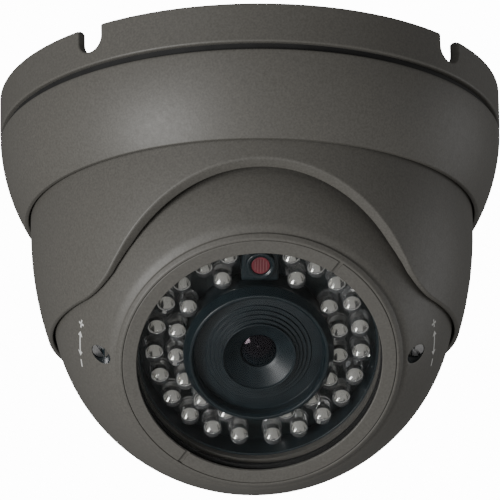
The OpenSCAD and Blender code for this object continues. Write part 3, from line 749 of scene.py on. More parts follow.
@dataclass
class Dome:
    """A shell of revolution with round holes let into its outer face.

    Heights run along the local Z axis, and the outer face is given by its angle from the pole.
    """

    radius_at: Callable[[float], float]
    columns: int = 360

    def surface(self, x: float, y: float, back: bool) -> tuple[float, float, float]:
        """Gives the point of the outer face above a place, on the front or the back half."""
        reach = math.hypot(x, y)
        angle = math.asin(min(1.0, reach / self.radius_at(math.pi / 4)))
        for _ in range(4):
            polar = math.pi - angle if back else angle
            angle = math.asin(min(1.0, reach / self.radius_at(polar)))
        polar = math.pi - angle if back else angle
        return (x, y, self.radius_at(polar) * math.cos(polar))

    def draw(
        self,
        draft: Draft,
        before: Sequence[Point],
        polars: Sequence[float],
        after: Sequence[Point],
        holes: Sequence[Hole],
    ) -> None:
        """Draws the shell.

        Args:
            draft: Mesh to draw in.
            before: Profile points before the pierced face.
            polars: Angles from the pole of the pierced face's rows.
            after: Profile points after it, closing the loop.
            holes: The holes.
        """
        face = [(self.radius_at(a) * math.sin(a), self.radius_at(a) * math.cos(a)) for a in polars]
        profile = [*before, *face, *after]
        rows = [draft.add(circle(radius, height, self.columns)) for radius, height in profile]
        offset = len(before)
        open_cells: set[tuple[int, int]] = set()
        for hole in holes:
            middle = round(math.atan2(hole.y, hole.x) / FULL_TURN * self.columns)
            first, last = middle - hole.half_columns, middle + hole.half_columns
            for r in range(hole.row_start, hole.row_end):
                for c in range(first, last):
                    open_cells.add((offset + r, c % self.columns))
            self.line(draft, rows, offset, hole, first, last)
        count = len(rows)
        for r in range(count):
            one, other = rows[r], rows[(r + 1) % count]
            for c in range(self.columns):
                if (r, c) not in open_cells:
                    d = (c + 1) % self.columns
                    draft.faces.append((one[c], one[d], other[d], other[c]))

    def line(
        self, draft: Draft, rows: list[list[int]], offset: int, hole: Hole, first: int, last: int
    ) -> None:
        """Joins the face to one hole's wall and floor.

        Args:
            draft: Mesh to draw in.
            rows: The shell's rows of point numbers.
            offset: The pierced face's first row.
            hole: The hole.
            first: First column of the opening left for it.
            last: Last column of the opening.
        """
        top, bottom = offset + hole.row_start, offset + hole.row_end
        columns = self.columns
        border = [rows[top][c % columns] for c in range(first, last)]
        border += [rows[r][last % columns] for r in range(top, bottom)]
        border += [rows[bottom][c % columns] for c in range(last, first, -1)]
        border += [rows[r][first % columns] for r in range(bottom, top, -1)]
        angles = [math.atan2(draft.points[i][1] - hole.y, draft.points[i][0] - hole.x) for i in border]
        back = draft.points[border[0]][2] < 0
        previous = border
        rim_r = hole.radius + hole.edge_r
        face_steps, lip_steps = 5, 4

        def spot(radius: float, angle: float) -> Point:
            """Gives the place at an angle round the hole."""
            return (hole.x + radius * math.cos(angle), hole.y + radius * math.sin(angle))

        for step in range(1, face_steps + 1):
            t = step / face_steps
            ring = []
            for i, a in zip(border, angles):
                x, y, _ = draft.points[i]
                rim_x, rim_y = spot(rim_r, a)
                ring.append(self.surface(x * (1 - t) + rim_x * t, y * (1 - t) + rim_y * t, back))
            ids = draft.add(ring)
            draft.bridge(previous, ids)
            previous = ids
        sink = 1 if back else -1
        for step in range(1, lip_steps + 1):
            t = step / lip_steps
            ring = []
            for a in angles:
                mouth = Vector(self.surface(*spot(hole.radius, a), back))
                start = Vector(self.surface(*spot(rim_r, a), back))
                end = mouth + Vector((0, 0, sink * hole.edge_r))
                ring.append(start * (1 - t) ** 2 + mouth * 2 * t * (1 - t) + end * t**2)
            ids = draft.add(ring)
            draft.bridge(previous, ids)
            previous = ids
        for height in (hole.floor - sink * 0.3, hole.floor):
            ids = draft.add([(*spot(hole.radius, a), height) for a in angles])
            draft.bridge(previous, ids)
            previous = ids
        draft.fan(previous, (hole.x, hole.y, hole.floor))


# ---------------------------------------------------------------- the camera's parts


def measure() -> dict[str, float]:
    """Reads the sizes that the frame fixes, in millimetres."""
    base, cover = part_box("mounting_base"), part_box("cover")
    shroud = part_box("shroud")
    return {
        "base_r": base[1].x / MM,
        "cover_top": cover[1].z / MM,
        "lip_z": cover[0].z / MM,
        "shroud_top": shroud[1].z / MM,
        "shroud_low": shroud[0].z / MM,
    }


def eyeball_frame(joints: list[dict]) -> Matrix:
    """Gives the eyeball's place at rest: X to the right, Y up its face, Z forward along the lens."""
    tilt = next(j for j in joints if j["name"] == "tilt")
    ring = next(j for j in joints if j["name"] == "focus_ring_turn")
    centre, forward = Vector(tilt["pos_m"]), Vector(ring["axis"]).normalized()
    right = Vector((1, 0, 0))
    up = forward.cross(right)
    place = Matrix((right, up, forward)).transposed().to_4x4()
    place.translation = centre
    return place


def settle(piece: bpy.types.Object, body: str, slot: Slot, *nodes: str) -> bpy.types.Object:
    """Hands a finished piece to its body and hides the CAD nodes that it stands for.

    Args:
        piece: The piece.
        body: Body that it rides on.
        slot: The record's slot of the piece; not used.
        *nodes: CAD nodes that it stands for.

    Returns:
        The piece.
    """
    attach(piece, body)
    if nodes:
        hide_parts(*nodes)
    LOG.info("%s: %d faces on %s", piece.name, len(piece.data.polygons), body)
    return piece


@dataclass
class MountingBase:
    """The round base with its skirt, four cable notches and screw plate."""

    finishes: Finishes
    radius: float
    height: float = 11.2
    skirt: float = 3.0
    notch_w: float = 7.75
    notch_depth: float = 7.2
    notch_at: tuple[float, ...] = (49, 139, 229, 319)
    mouth_r: float = 0.7
    well_r: float = 48.0
    floor_t: float = 2.8
    plate_t: float = 2.2
    entry_r: float = 15.0
    screw_r: float = 2.25
    screw_at: float = 40.0

    def notch(self) -> list[Point]:
        """Gives the outline of one notch and its mouth, from left to right."""
        half, low = self.notch_w / 2, -self.notch_depth
        turns = [math.pi / 2 * k / 5 for k in range(6)]
        side = [(-half - self.mouth_r * (1 - math.sin(a)), -self.mouth_r * (1 - math.cos(a))) for a in turns]
        straight = self.notch_depth - half - self.mouth_r
        side += [(-half, -self.mouth_r - straight * k / 4) for k in range(1, 4)]
        turns = [math.pi + math.pi * k / 20 for k in range(21)]
        round_end = [(half * math.cos(a), low + half + half * math.sin(a)) for a in turns]
        return side + round_end + [(-x, z) for x, z in reversed(side)]

    def skirt_outline(self) -> tuple[list[Point], list[float]]:
        """Gives the skirt's upper outline, once round, and where each of its columns meets the lower edge."""
        cell = FULL_TURN * self.radius / 8
        near, spread, flats = 8.0, 13.0, 30
        outline: list[Point] = []
        far: list[float] = []
        notch = self.notch()
        for angle in self.notch_at:
            middle = math.radians(angle) * self.radius
            left = [
                (-cell + (cell - near) * k / flats, -cell + (cell - spread) * k / flats) for k in range(flats)
            ]
            steps = 4
            lead = [(-near + (near + notch[0][0]) * k / steps, 0.0) for k in range(steps)]
            core = [*lead, *notch, *[(-x, z) for x, z in reversed(lead)]]
            for x, far_x in left:
                outline.append((middle + x, 0.0))
                far.append(middle + far_x)
            for k, (x, z) in enumerate(core):
                outline.append((middle + x, z))
                far.append(middle - spread + 2 * spread * k / (len(core) - 1))
            for x, far_x in reversed(left[1:]):
                outline.append((middle - x, 0.0))
                far.append(middle - far_x)
        return outline, far

    def build(self) -> None:
        """Builds the skirt, the floor and the screw plate as one piece."""
        wall = TrimmedWall(
            self.radius, lambda v: self.radius, lambda v: self.radius - self.skirt, edge_r=0.55, rows=8
        )
        outline, far = self.skirt_outline()
        skirt = Draft()
        wall.draw(skirt, outline, outline, far, -self.height)
        inner = self.radius - self.skirt + 0.3
        well_in = self.well_r - self.floor_t
        floor = Draft()
        floor.lathe(
            filleted(
                [
                    (inner, self.floor_t - self.height, 0),
                    (self.well_r, self.floor_t - self.height, 0.8),
                    (self.well_r, 0, 0.5),
                    (self.entry_r, 0, 0.3),
                    (self.entry_r, -self.plate_t, 0.3),
                    (well_in, -self.plate_t, 0.8),
                    (well_in, -self.height, 0.5),
                    (inner, -self.height, 0),
                ]
            ),
            columns=160,
        )
        plate = floor.build("base_floor", Matrix.Identity(4))
        holes = Draft()
        rim, low = self.screw_r + 0.5, -self.plate_t - 1
        for k in range(4):
            angle = math.radians(4 + 90 * k)
            start = len(holes.points)
            holes.lathe(
                [(0, 1), (rim, 1), (rim, 0), (self.screw_r, -0.5), (self.screw_r, low), (0, low)],
                32,
                closed=False,
            )
            shift = (self.screw_at * math.cos(angle), self.screw_at * math.sin(angle))
            holes.points[start:] = [(x + shift[0], y + shift[1], z) for x, y, z in holes.points[start:]]
        cutter = holes.build("base_hole_cutter", Matrix.Identity(4))
        cut(plate, cutter)
        piece = skirt.build("base_casting", Matrix.Identity(4))
        join(piece, plate)
        self.finishes.dress(piece, Slot.PAINT)
        settle(piece, "base", Slot.PAINT, "mounting_base")


def cut(piece: bpy.types.Object, cutter: bpy.types.Object) -> None:
    """Cuts one mesh out of another and removes the cutter."""
    boolean = piece.modifiers.new("cut", "BOOLEAN")
    boolean.operation = "DIFFERENCE"
    boolean.solver = "EXACT"
    boolean.object = cutter
    freeze(piece)
    bpy.data.objects.remove(cutter)


def freeze(piece: bpy.types.Object) -> None:
    """Turns a piece's modifiers into its plain mesh."""
    bpy.context.view_layer.update()
    evaluated = piece.evaluated_get(bpy.context.evaluated_depsgraph_get())
    mesh = bpy.data.meshes.new_from_object(evaluated)
    piece.modifiers.clear()
    piece.data = mesh


def join(piece: bpy.types.Object, *others: bpy.types.Object) -> None:
    """Adds other meshes to a piece, with their finishes, and removes their objects."""
    work = bmesh.new()
    work.from_mesh(piece.data)
    for other in others:
        shift = len(piece.data.materials)
        for material in other.data.materials:
            piece.data.materials.append(material)
        before = len(work.faces)
        work.from_mesh(other.data)
        work.faces.ensure_lookup_table()
        for face in work.faces[before:]:
            face.material_index += shift
        bpy.data.objects.remove(other)
    work.to_mesh(piece.data)
    work.free()


@dataclass
class Cover:
    """The curved trim cover under the base."""

    finishes: Finishes
    base_r: float
    base_h: float
    top: float
    lip_z: float
    lip_r: float = 63.2
    bore_r: float = 62.0
    pocket_r: float = 64.2
    ledge_z: float = -22.5
    shelf_z: float = -19.5
    wall: float = 2.0

    def build(self) -> None:
        """Builds the cover as one turned piece."""
        middle_z = -self.base_h + 0.9
        drop, inset = middle_z - self.lip_z, self.base_r - self.lip_r
        curve = (drop * drop + inset * inset) / (2 * inset)
        centre = (self.base_r - curve, middle_z)
        angle = [math.asin((z - middle_z) / curve) for z in (self.top, self.top - 1.3, self.lip_z + 0.9)]
        corner = (centre[0] + curve * math.cos(angle[0]), self.top)
        profile = filleted(
            [
                (corner[0] - self.wall, self.top, 0.3),
                (*corner, 0.6),
                *arc(centre, curve, angle[1], angle[2], 30),
                (self.lip_r, self.lip_z, 0.35),
                (self.bore_r, self.lip_z, 0.35),
                (self.bore_r, self.ledge_z, 0.2),
                (self.pocket_r, self.ledge_z, 0),
                (self.pocket_r, self.shelf_z, 0),
                (self.base_r - 2 * self.wall, self.shelf_z, 0),
            ]
        )
        draft = Draft()
        draft.lathe(profile, 320)
        piece = draft.build("trim_cover", Matrix.Identity(4))
        self.finishes.dress(piece, Slot.PAINT)
        settle(piece, "base", Slot.PAINT, "cover")


@dataclass
class Shroud:
    """The panning skirt with its arched opening."""

    finishes: Finishes
    ball_z: float
    top: float
    low: float
    radius: float = 61.5
    wall: float = 2.8
    curve: float = 100.0
    upright_above: float = 17.85
    ball_clear_r: float = 56.75
    arch_above: float = 16.45
    arch_half_w: float = 41.5
    arch_slope: float = 0.6
    tip_r: float = 23.0
    side_rise: float = 2.5
    blend: float = 0.8
    edge_r: float = 0.45

    def outer(self, z: float) -> float:
        """Gives the outer radius at a height."""
        drop = min(z - self.ball_z - self.upright_above, 0)
        return self.radius - self.curve + math.sqrt(self.curve**2 - drop**2)

    def inner(self, z: float) -> float:
        """Gives the inner radius at a height, clear of the eyeball."""
        ball = math.sqrt(max(self.ball_clear_r**2 - (z - self.ball_z) ** 2, 0))
        return max(self.outer(z) - self.wall, min(ball, self.outer(z) - 1.0))

    def arch(self) -> tuple[float, float]:
        """Gives the cone that cuts the arch: its radius at the front, and its axis height."""
        top, side_z = self.ball_z + self.arch_above, self.low + self.side_rise
        side_y = math.sqrt(self.outer(side_z) ** 2 - self.arch_half_w**2)
        fall, shrink = top - side_z, self.arch_slope * (self.radius - side_y)
        radius = (self.arch_half_w**2 + fall**2 - shrink**2) / (2 * (fall - shrink))
        return radius, top - radius

    def edge(self, angle: float) -> tuple[Point, Point]:
        """Gives the lower outline at an angle from the front.

        Args:
            angle: Angle from the front, 0 to pi.

        Returns:
            The outline's point on the outer face and its partner on the inner face, as angle and height.
        """
        cone_r, axis_z = self.arch()
        passes = 12
        z = self.ball_z
        for _ in range(passes):
            x, y = self.outer(z) * math.sin(angle), self.outer(z) * math.cos(angle)
            reach = cone_r - self.arch_slope * (self.radius - y)
            if reach <= x or y <= 0:
                z = self.low - 20
                break
            z = axis_z + math.sqrt(reach**2 - x**2)
        arch_z = z
        side_z = self.low + self.side_rise
        corner = math.asin(self.arch_half_w / self.outer(side_z)) + math.radians(2.5)
        bend = self.tip_r * math.tan(math.radians(22.5))
        x = self.outer(side_z) * math.sin(max(min(angle - corner, 1.2), -1.2))
        tip_z = self.low
        if x < bend:
            swing = min((bend - x) / self.tip_r, math.sin(math.radians(45)))
            tip_z = self.low + self.tip_r * (1 - math.sqrt(1 - swing**2))
            tip_z += 0.5 * max(bend - x - swing * self.tip_r, 0)
        near = max(self.blend - abs(arch_z - tip_z), 0) / self.blend
        height = max(arch_z, tip_z) + near * near * self.blend / 4
        share = min(max(0.5 + (arch_z - tip_z) / (2 * self.blend), 0), 1)
        inside_angle, inside_z = angle, height
        if share > 0:
            x, y = self.outer(height) * math.sin(angle), self.outer(height) * math.cos(angle)
            lean = math.atan2(x, height - axis_z)
            y2 = y - self.wall
            for _ in range(passes):
                reach = cone_r - self.arch_slope * (self.radius - y2)
                x2, z2 = reach * math.sin(lean), axis_z + reach * math.cos(lean)
                y2 = math.sqrt(max(self.inner(z2) ** 2 - x2**2, 0.01))
            inside_angle = angle * (1 - share) + math.atan2(x2, y2) * share
            inside_z = height * (1 - share) + z2 * share
        return (angle, height), (inside_angle, inside_z)

    def build(self) -> None:
        """Builds the shroud as one wall with its edges rounded."""
        half = [math.radians(a) for a in [0.8 * k for k in range(100)]]
        half += [math.radians(80 + 2.5 * k) for k in range(1, 41) if 80 + 2.5 * k < 180]
        angles = [-a for a in reversed(half[1:])] + half
        outside, inside, far = [], [], []
        scale = self.radius
        for a in angles:
            (angle, z), (angle_in, z_in) = self.edge(abs(a))
            sign = 1 if a >= 0 else -1
            outside.append((sign * angle * scale, z))
            inside.append((sign * angle_in * scale, z_in))
            far.append(a * scale)
        draft = Draft()
        wall = TrimmedWall(scale, self.outer, self.inner, self.edge_r, rows=18)
        wall.draw(draft, outside, inside, far, self.top)
        piece = draft.build("pan_shroud", Matrix.Identity(4))
        self.finishes.dress(piece, Slot.PAINT)
        settle(piece, "shroud", Slot.PAINT, "shroud")


@dataclass
class Eyeball:
    """The two painted shells of the eyeball, with the adjuster holes and their printed marks."""

    finishes: Finishes
    place: Matrix
    radius: float = 56.05
    wall: float = 2.6
    face_w: float = 41.386
    seat_r: float = 37.2
    shelf_w: float = 35.44
    shelf_r: float = 32.8
    split_w: float = -28.0
    back_r: float = 36.8
    hole_x: float = 42.75
    hole_r: float = 2.45
    hole_floor: float = 30.9
    screw_at: float = 41.5
    screw_r: float = 3.0
    groove: float = 0.5
    groove_start: float = 43.85
    groove_end: float = 46.6

    def radius_at(self, polar: float) -> float:
        """Gives the outer radius at an angle from the lens axis, with the groove round the window's rim."""
        degrees = math.degrees(polar)
        if degrees <= self.groove_start or degrees >= self.groove_end:
            return self.radius
        near_side = 0.4
        t = (degrees - self.groove_start) / near_side
        if t < 1:
            return self.radius - self.groove * t * t * (3 - 2 * t)
        s = (degrees - self.groove_start - near_side) / (self.groove_end - self.groove_start - near_side)
        return self.radius - self.groove * (1 - s) ** 2 * (1 + 2 * s)

    def front(self) -> bpy.types.Object:
        """Builds the front shell."""
        dome = Dome(self.radius_at)
        inside_r = self.radius - self.wall
        before = filleted(
            [
                (self.shelf_r, self.shelf_w, 0.2),
                (self.seat_r, self.shelf_w, 0.2),
                (self.seat_r, self.face_w - 0.03, 0.15),
                (self.seat_r + 0.75, self.face_w - 0.03, 0.25),
            ],
            closed=False,
        )
        before[-1:] = [(self.seat_r + 0.5, self.face_w - 0.03), (self.seat_r + 0.62, self.face_w - 0.08)]
        polars = [42.62, 42.8, 43.1, 43.4, 43.65, *[43.85 + 0.08 * k for k in range(6)], 44.5, 44.8, 45.2]
        hole_row = len(polars) - 1
        polars += [45.2 + k for k in range(1, 74)]
        split = math.degrees(math.acos(self.split_w / self.radius))
        polars += [split - 0.7, split - 0.3]
        shelf_back = self.shelf_w - 2
        after = [(self.radius * math.sin(math.radians(split)) - 0.25, self.split_w)]
        for k in range(17):
            polar = math.radians(split - 0.35 - (split - 40) * k / 16)
            height = inside_r * math.cos(polar)
            if height < self.shelf_w - 2.2:
                after.append((inside_r * math.sin(polar), max(height, self.split_w)))
        after += [(math.sqrt(inside_r**2 - shelf_back**2), shelf_back), (self.shelf_r, shelf_back)]
        rows = (hole_row, hole_row + 10)
        holes = [Hole(side * self.hole_x, 0, self.hole_r, self.hole_floor, *rows, 6) for side in (-1, 1)]
        draft = Draft()
        dome.draw(draft, before, [math.radians(a) for a in polars], after, holes)
        return draft.build("ball_front", self.place)

    def rear(self) -> bpy.types.Object:
        """Builds the rear shell."""
        dome = Dome(lambda polar: self.radius)
        inside_r = self.radius - self.wall
        split = math.degrees(math.acos(self.split_w / self.radius))
        back = math.degrees(math.pi - math.asin(self.back_r / self.radius))
        back_w = self.radius * math.cos(math.radians(back))
        before = [(inside_r * math.sin(math.radians(split + 1.5)), self.split_w - 0.01)]
        before += [(self.radius * math.sin(math.radians(split)) - 0.25, self.split_w)]
        polars = [split + 0.3, split + 0.7]
        start = split + 1.5
        polars += [start + k for k in range(0, 18)]

        def row_within(reach: float) -> int:
            """Gives the first row that is nearer the axis than a distance."""
            edge = 180 - math.degrees(math.asin(reach / self.radius))
            return next(i for i, a in enumerate(polars) if a > edge)

        row = row_within(self.screw_at + self.screw_r + 1.4)
        last = row_within(self.screw_at - self.screw_r - 1.1)
        polars = [a for a in polars if a < back - 0.8] + [back - 0.5]
        after = filleted(
            [
                (self.back_r + 0.2, back_w + 0.2, 0),
                (self.back_r, back_w, 0.3),
                (5.0, back_w, 0.3),
                (5.0, back_w + self.wall, 0.3),
                (33.5, back_w + self.wall, 0),
                (inside_r * math.sin(math.radians(138)), inside_r * math.cos(math.radians(138)), 0),
                (inside_r * math.sin(math.radians(130)), inside_r * math.cos(math.radians(130)), 0),
            ],
            closed=False,
        )
        holes = []
        end_row = min(last + 1, len(polars) - 1)
        for angle in (45, 135, 225, 315):
            turn = math.radians(angle)
            x, y = self.screw_at * math.cos(turn), self.screw_at * math.sin(turn)
            holes.append(Hole(x, y, self.screw_r, self.split_w - 4, row - 1, end_row, 7))
        draft = Draft()
        dome.draw(draft, before, [math.radians(a) for a in polars], after, holes)
        return draft.build("ball_rear", self.place)

    def mark(self, side: int) -> bpy.types.Object:
        """Builds the printed mark beside one adjuster: minus, a two-headed arrow and plus.

        Args:
            side: -1 for the left one, 1 for the right one.

        Returns:
            The mark.
        """
        draft = Draft()
        track_r, stroke, lift, sunk = 48.3, 0.55, 0.03, -0.05
        slant = math.asin(track_r / self.radius)

        def put(along: float, across: float, height: float) -> tuple[float, float, float]:
            """Places a point of the flat mark on the ball."""
            turn = (along - 0.6) / track_r
            polar = slant + across / self.radius
            reach = (self.radius + height) * math.sin(polar)
            return (
                side * reach * math.cos(turn),
                reach * math.sin(turn),
                (self.radius + height) * math.cos(polar),
            )

        def strip(start: Point, end: Point, wide_start: float, wide_end: float) -> None:
            """Draws a straight stroke that may taper."""
            steps = max(2, round(math.dist(start, end) / 0.5))
            dx, dy = (end[0] - start[0]) / math.dist(start, end), (end[1] - start[1]) / math.dist(start, end)
            rows = []
            for k in range(steps + 1):
                t = k / steps
                x, y = start[0] + (end[0] - start[0]) * t, start[1] + (end[1] - start[1]) * t
                half = (wide_start * (1 - t) + wide_end * t) / 2
                left, right = (x - dy * half, y + dx * half), (x + dy * half, y - dx * half)
                section = ((left, lift), (right, lift), (right, sunk), (left, sunk))
                rows.append(draft.add([put(*spot, height) for spot, height in section]))
            for one, other in zip(rows, rows[1:]):
                draft.bridge(one, other)
            draft.faces.append(tuple(rows[0]))
            draft.faces.append(tuple(rows[-1]))

        strip((-7.2, 0), (-4.9, 0), stroke, stroke)
        strip((4.9, 0), (7.2, 0), stroke, stroke)
        strip((6.05, -1.15), (6.05, 1.15), stroke, stroke)
        strip((-2.4, 0), (2.4, 0), stroke, stroke)
        strip((-3.7, 0), (-2.3, 0), 0.1, 2.2)
        strip((3.7, 0), (2.3, 0), 0.1, 2.2)
        name = "mark_left" if side < 0 else "mark_right"
        return draft.build(name, self.place, smooth=False)

    def paint_hole_shade(self, piece: bpy.types.Object) -> None:
        """Gives the walls of the adjuster holes the black plastic finish, painted shade that darkens the
        holes.
        """
        piece.data.materials.append(self.finishes[Slot.PLASTIC])
        back = self.place.inverted()
        for face in piece.data.polygons:
            spot = (back @ face.center) / MM
            across = math.hypot(spot.x, spot.y)
            surface = math.sqrt(self.radius**2 - spot.x**2 - spot.y**2) if across < 50 else 0
            near = math.hypot(abs(spot.x) - self.hole_x, spot.y) < self.hole_r + 0.02
            # Painted shade: hole wall faces below the rim take the black plastic finish.
            if near and 0 < spot.z < surface - 0.55:
                face.material_index = 1

    def build(self) -> None:
        """Builds both shells and both marks."""
        front, rear = self.front(), self.rear()
        for piece, node in ((front, "ball_front_shell"), (rear, "ball_rear_shell")):
            self.finishes.dress(piece, Slot.PAINT)
            # The front shell's adjuster hole walls get painted shade.
            if piece is front:
                self.paint_hole_shade(piece)
            settle(piece, "eyeball", Slot.PAINT, node)
        for side in (-1, 1):
            mark = self.mark(side)
            self.finishes.dress(mark, Slot.PAINT, self.finishes.ink)
            settle(mark, "eyeball", Slot.PAINT)


@dataclass
class Window:
    """The bezel ring, the glass and the black skirt behind it."""

    finishes: Finishes
    place: Matrix
    face_w: float = 41.336
    bezel_r: float = 37.1
    window_r: float = 33.3
    glass_r: float = 35.2
    glass_front: float = 40.436
    glass_back: float = 38.436
    shelf_w: float = 35.44
    board_w: float = 25.036
    slot_w: float = 1.4
    slot_depth: float = 0.6
    slot_at: tuple[float, ...] = (-34.8, 145.2)

    def bezel(self) -> bpy.types.Object:
        """Builds the bezel with its two tool slots."""
        profile = filleted(
            [
                (self.window_r, self.face_w, 0.18),
                (self.window_r, self.glass_front, 0.1),
                (self.glass_r + 0.1, self.glass_front, 0),
                (self.glass_r + 0.1, self.shelf_w + 0.02, 0),
                (self.bezel_r, self.shelf_w + 0.02, 0),
                (self.bezel_r, self.face_w, 0.25),
            ]
        )
        half = self.slot_w / 2
        right_side = (0.3, half - 0.05, half, half + 0.04, half + 0.12, 1.4, 2.2)
        offsets = [*[-x for x in reversed(right_side)], *right_side]
        columns: list[tuple[float, float]] = []
        reach = math.degrees(math.asin(2.2 / self.window_r))
        one, other = self.slot_at
        for first, following in ((one, other), (other, one + 360)):
            columns += [(first, -x) for x in offsets]
            start, end = first + reach, following - reach
            columns += [(start + (end - start) * k / 90, 0.0) for k in range(1, 90)]
        floor = self.face_w - self.slot_depth
        draft = Draft()
        loops = []
        for radius, height in profile:
            ring = []
            for angle, offset in columns:
                turn = math.radians(angle)
                x, y = offset, math.sqrt(radius**2 - offset**2)
                deep = floor if offset and abs(offset) < half - 0.02 else height
                x, y = x * math.cos(turn) - y * math.sin(turn), x * math.sin(turn) + y * math.cos(turn)
                ring.append((x, y, min(height, deep)))
            loops.append(draft.add(ring))
        for one, other in zip(loops, loops[1:] + loops[:1]):
            draft.bridge(one, other)
        return draft.build("window_bezel", self.place)

    def build(self) -> None:
        """Builds the window."""
        bezel = self.bezel()
        self.finishes.dress(bezel, Slot.PAINT)
        settle(bezel, "eyeball", Slot.PAINT, "bezel_ring")
        pane = Draft()
        pane.lathe(
            filleted(
                [
                    (0, self.glass_front, 0),
                    (self.glass_r, self.glass_front, 0.25),
                    (self.glass_r, self.glass_back, 0.25),
                    (0, self.glass_back, 0),
                ],
                closed=False,
            ),
            128,
            closed=False,
        )
        glass = pane.build("window_glass", self.place)
        self.finishes.dress(glass, Slot.GLASS)
        settle(glass, "eyeball", Slot.GLASS, "front_glass")
        tube = Draft()
        outer, inner = self.window_r - 0.3, self.window_r - 1.1
        tube.lathe(
            filleted(
                [
                    (outer, self.board_w, 0),
                    (outer, self.shelf_w - 2, 0.1),
                    (inner, self.shelf_w - 2, 0.2),
                    (inner, self.board_w, 0),
                ]
            ),
            160,
        )
        skirt = tube.build("lamp_surround", self.place)
        self.finishes.dress(skirt, Slot.PLASTIC)
        settle(skirt, "eyeball", Slot.PLASTIC, "lamp_skirt")


@dataclass
class LampRing:
    """One ring of lamps: which CAD node it stands for and how it is laid out, clockwise from the top."""

    node: str
    radius: float
    per_side: int
    first: float
    step: float
    extra: float = 0.0


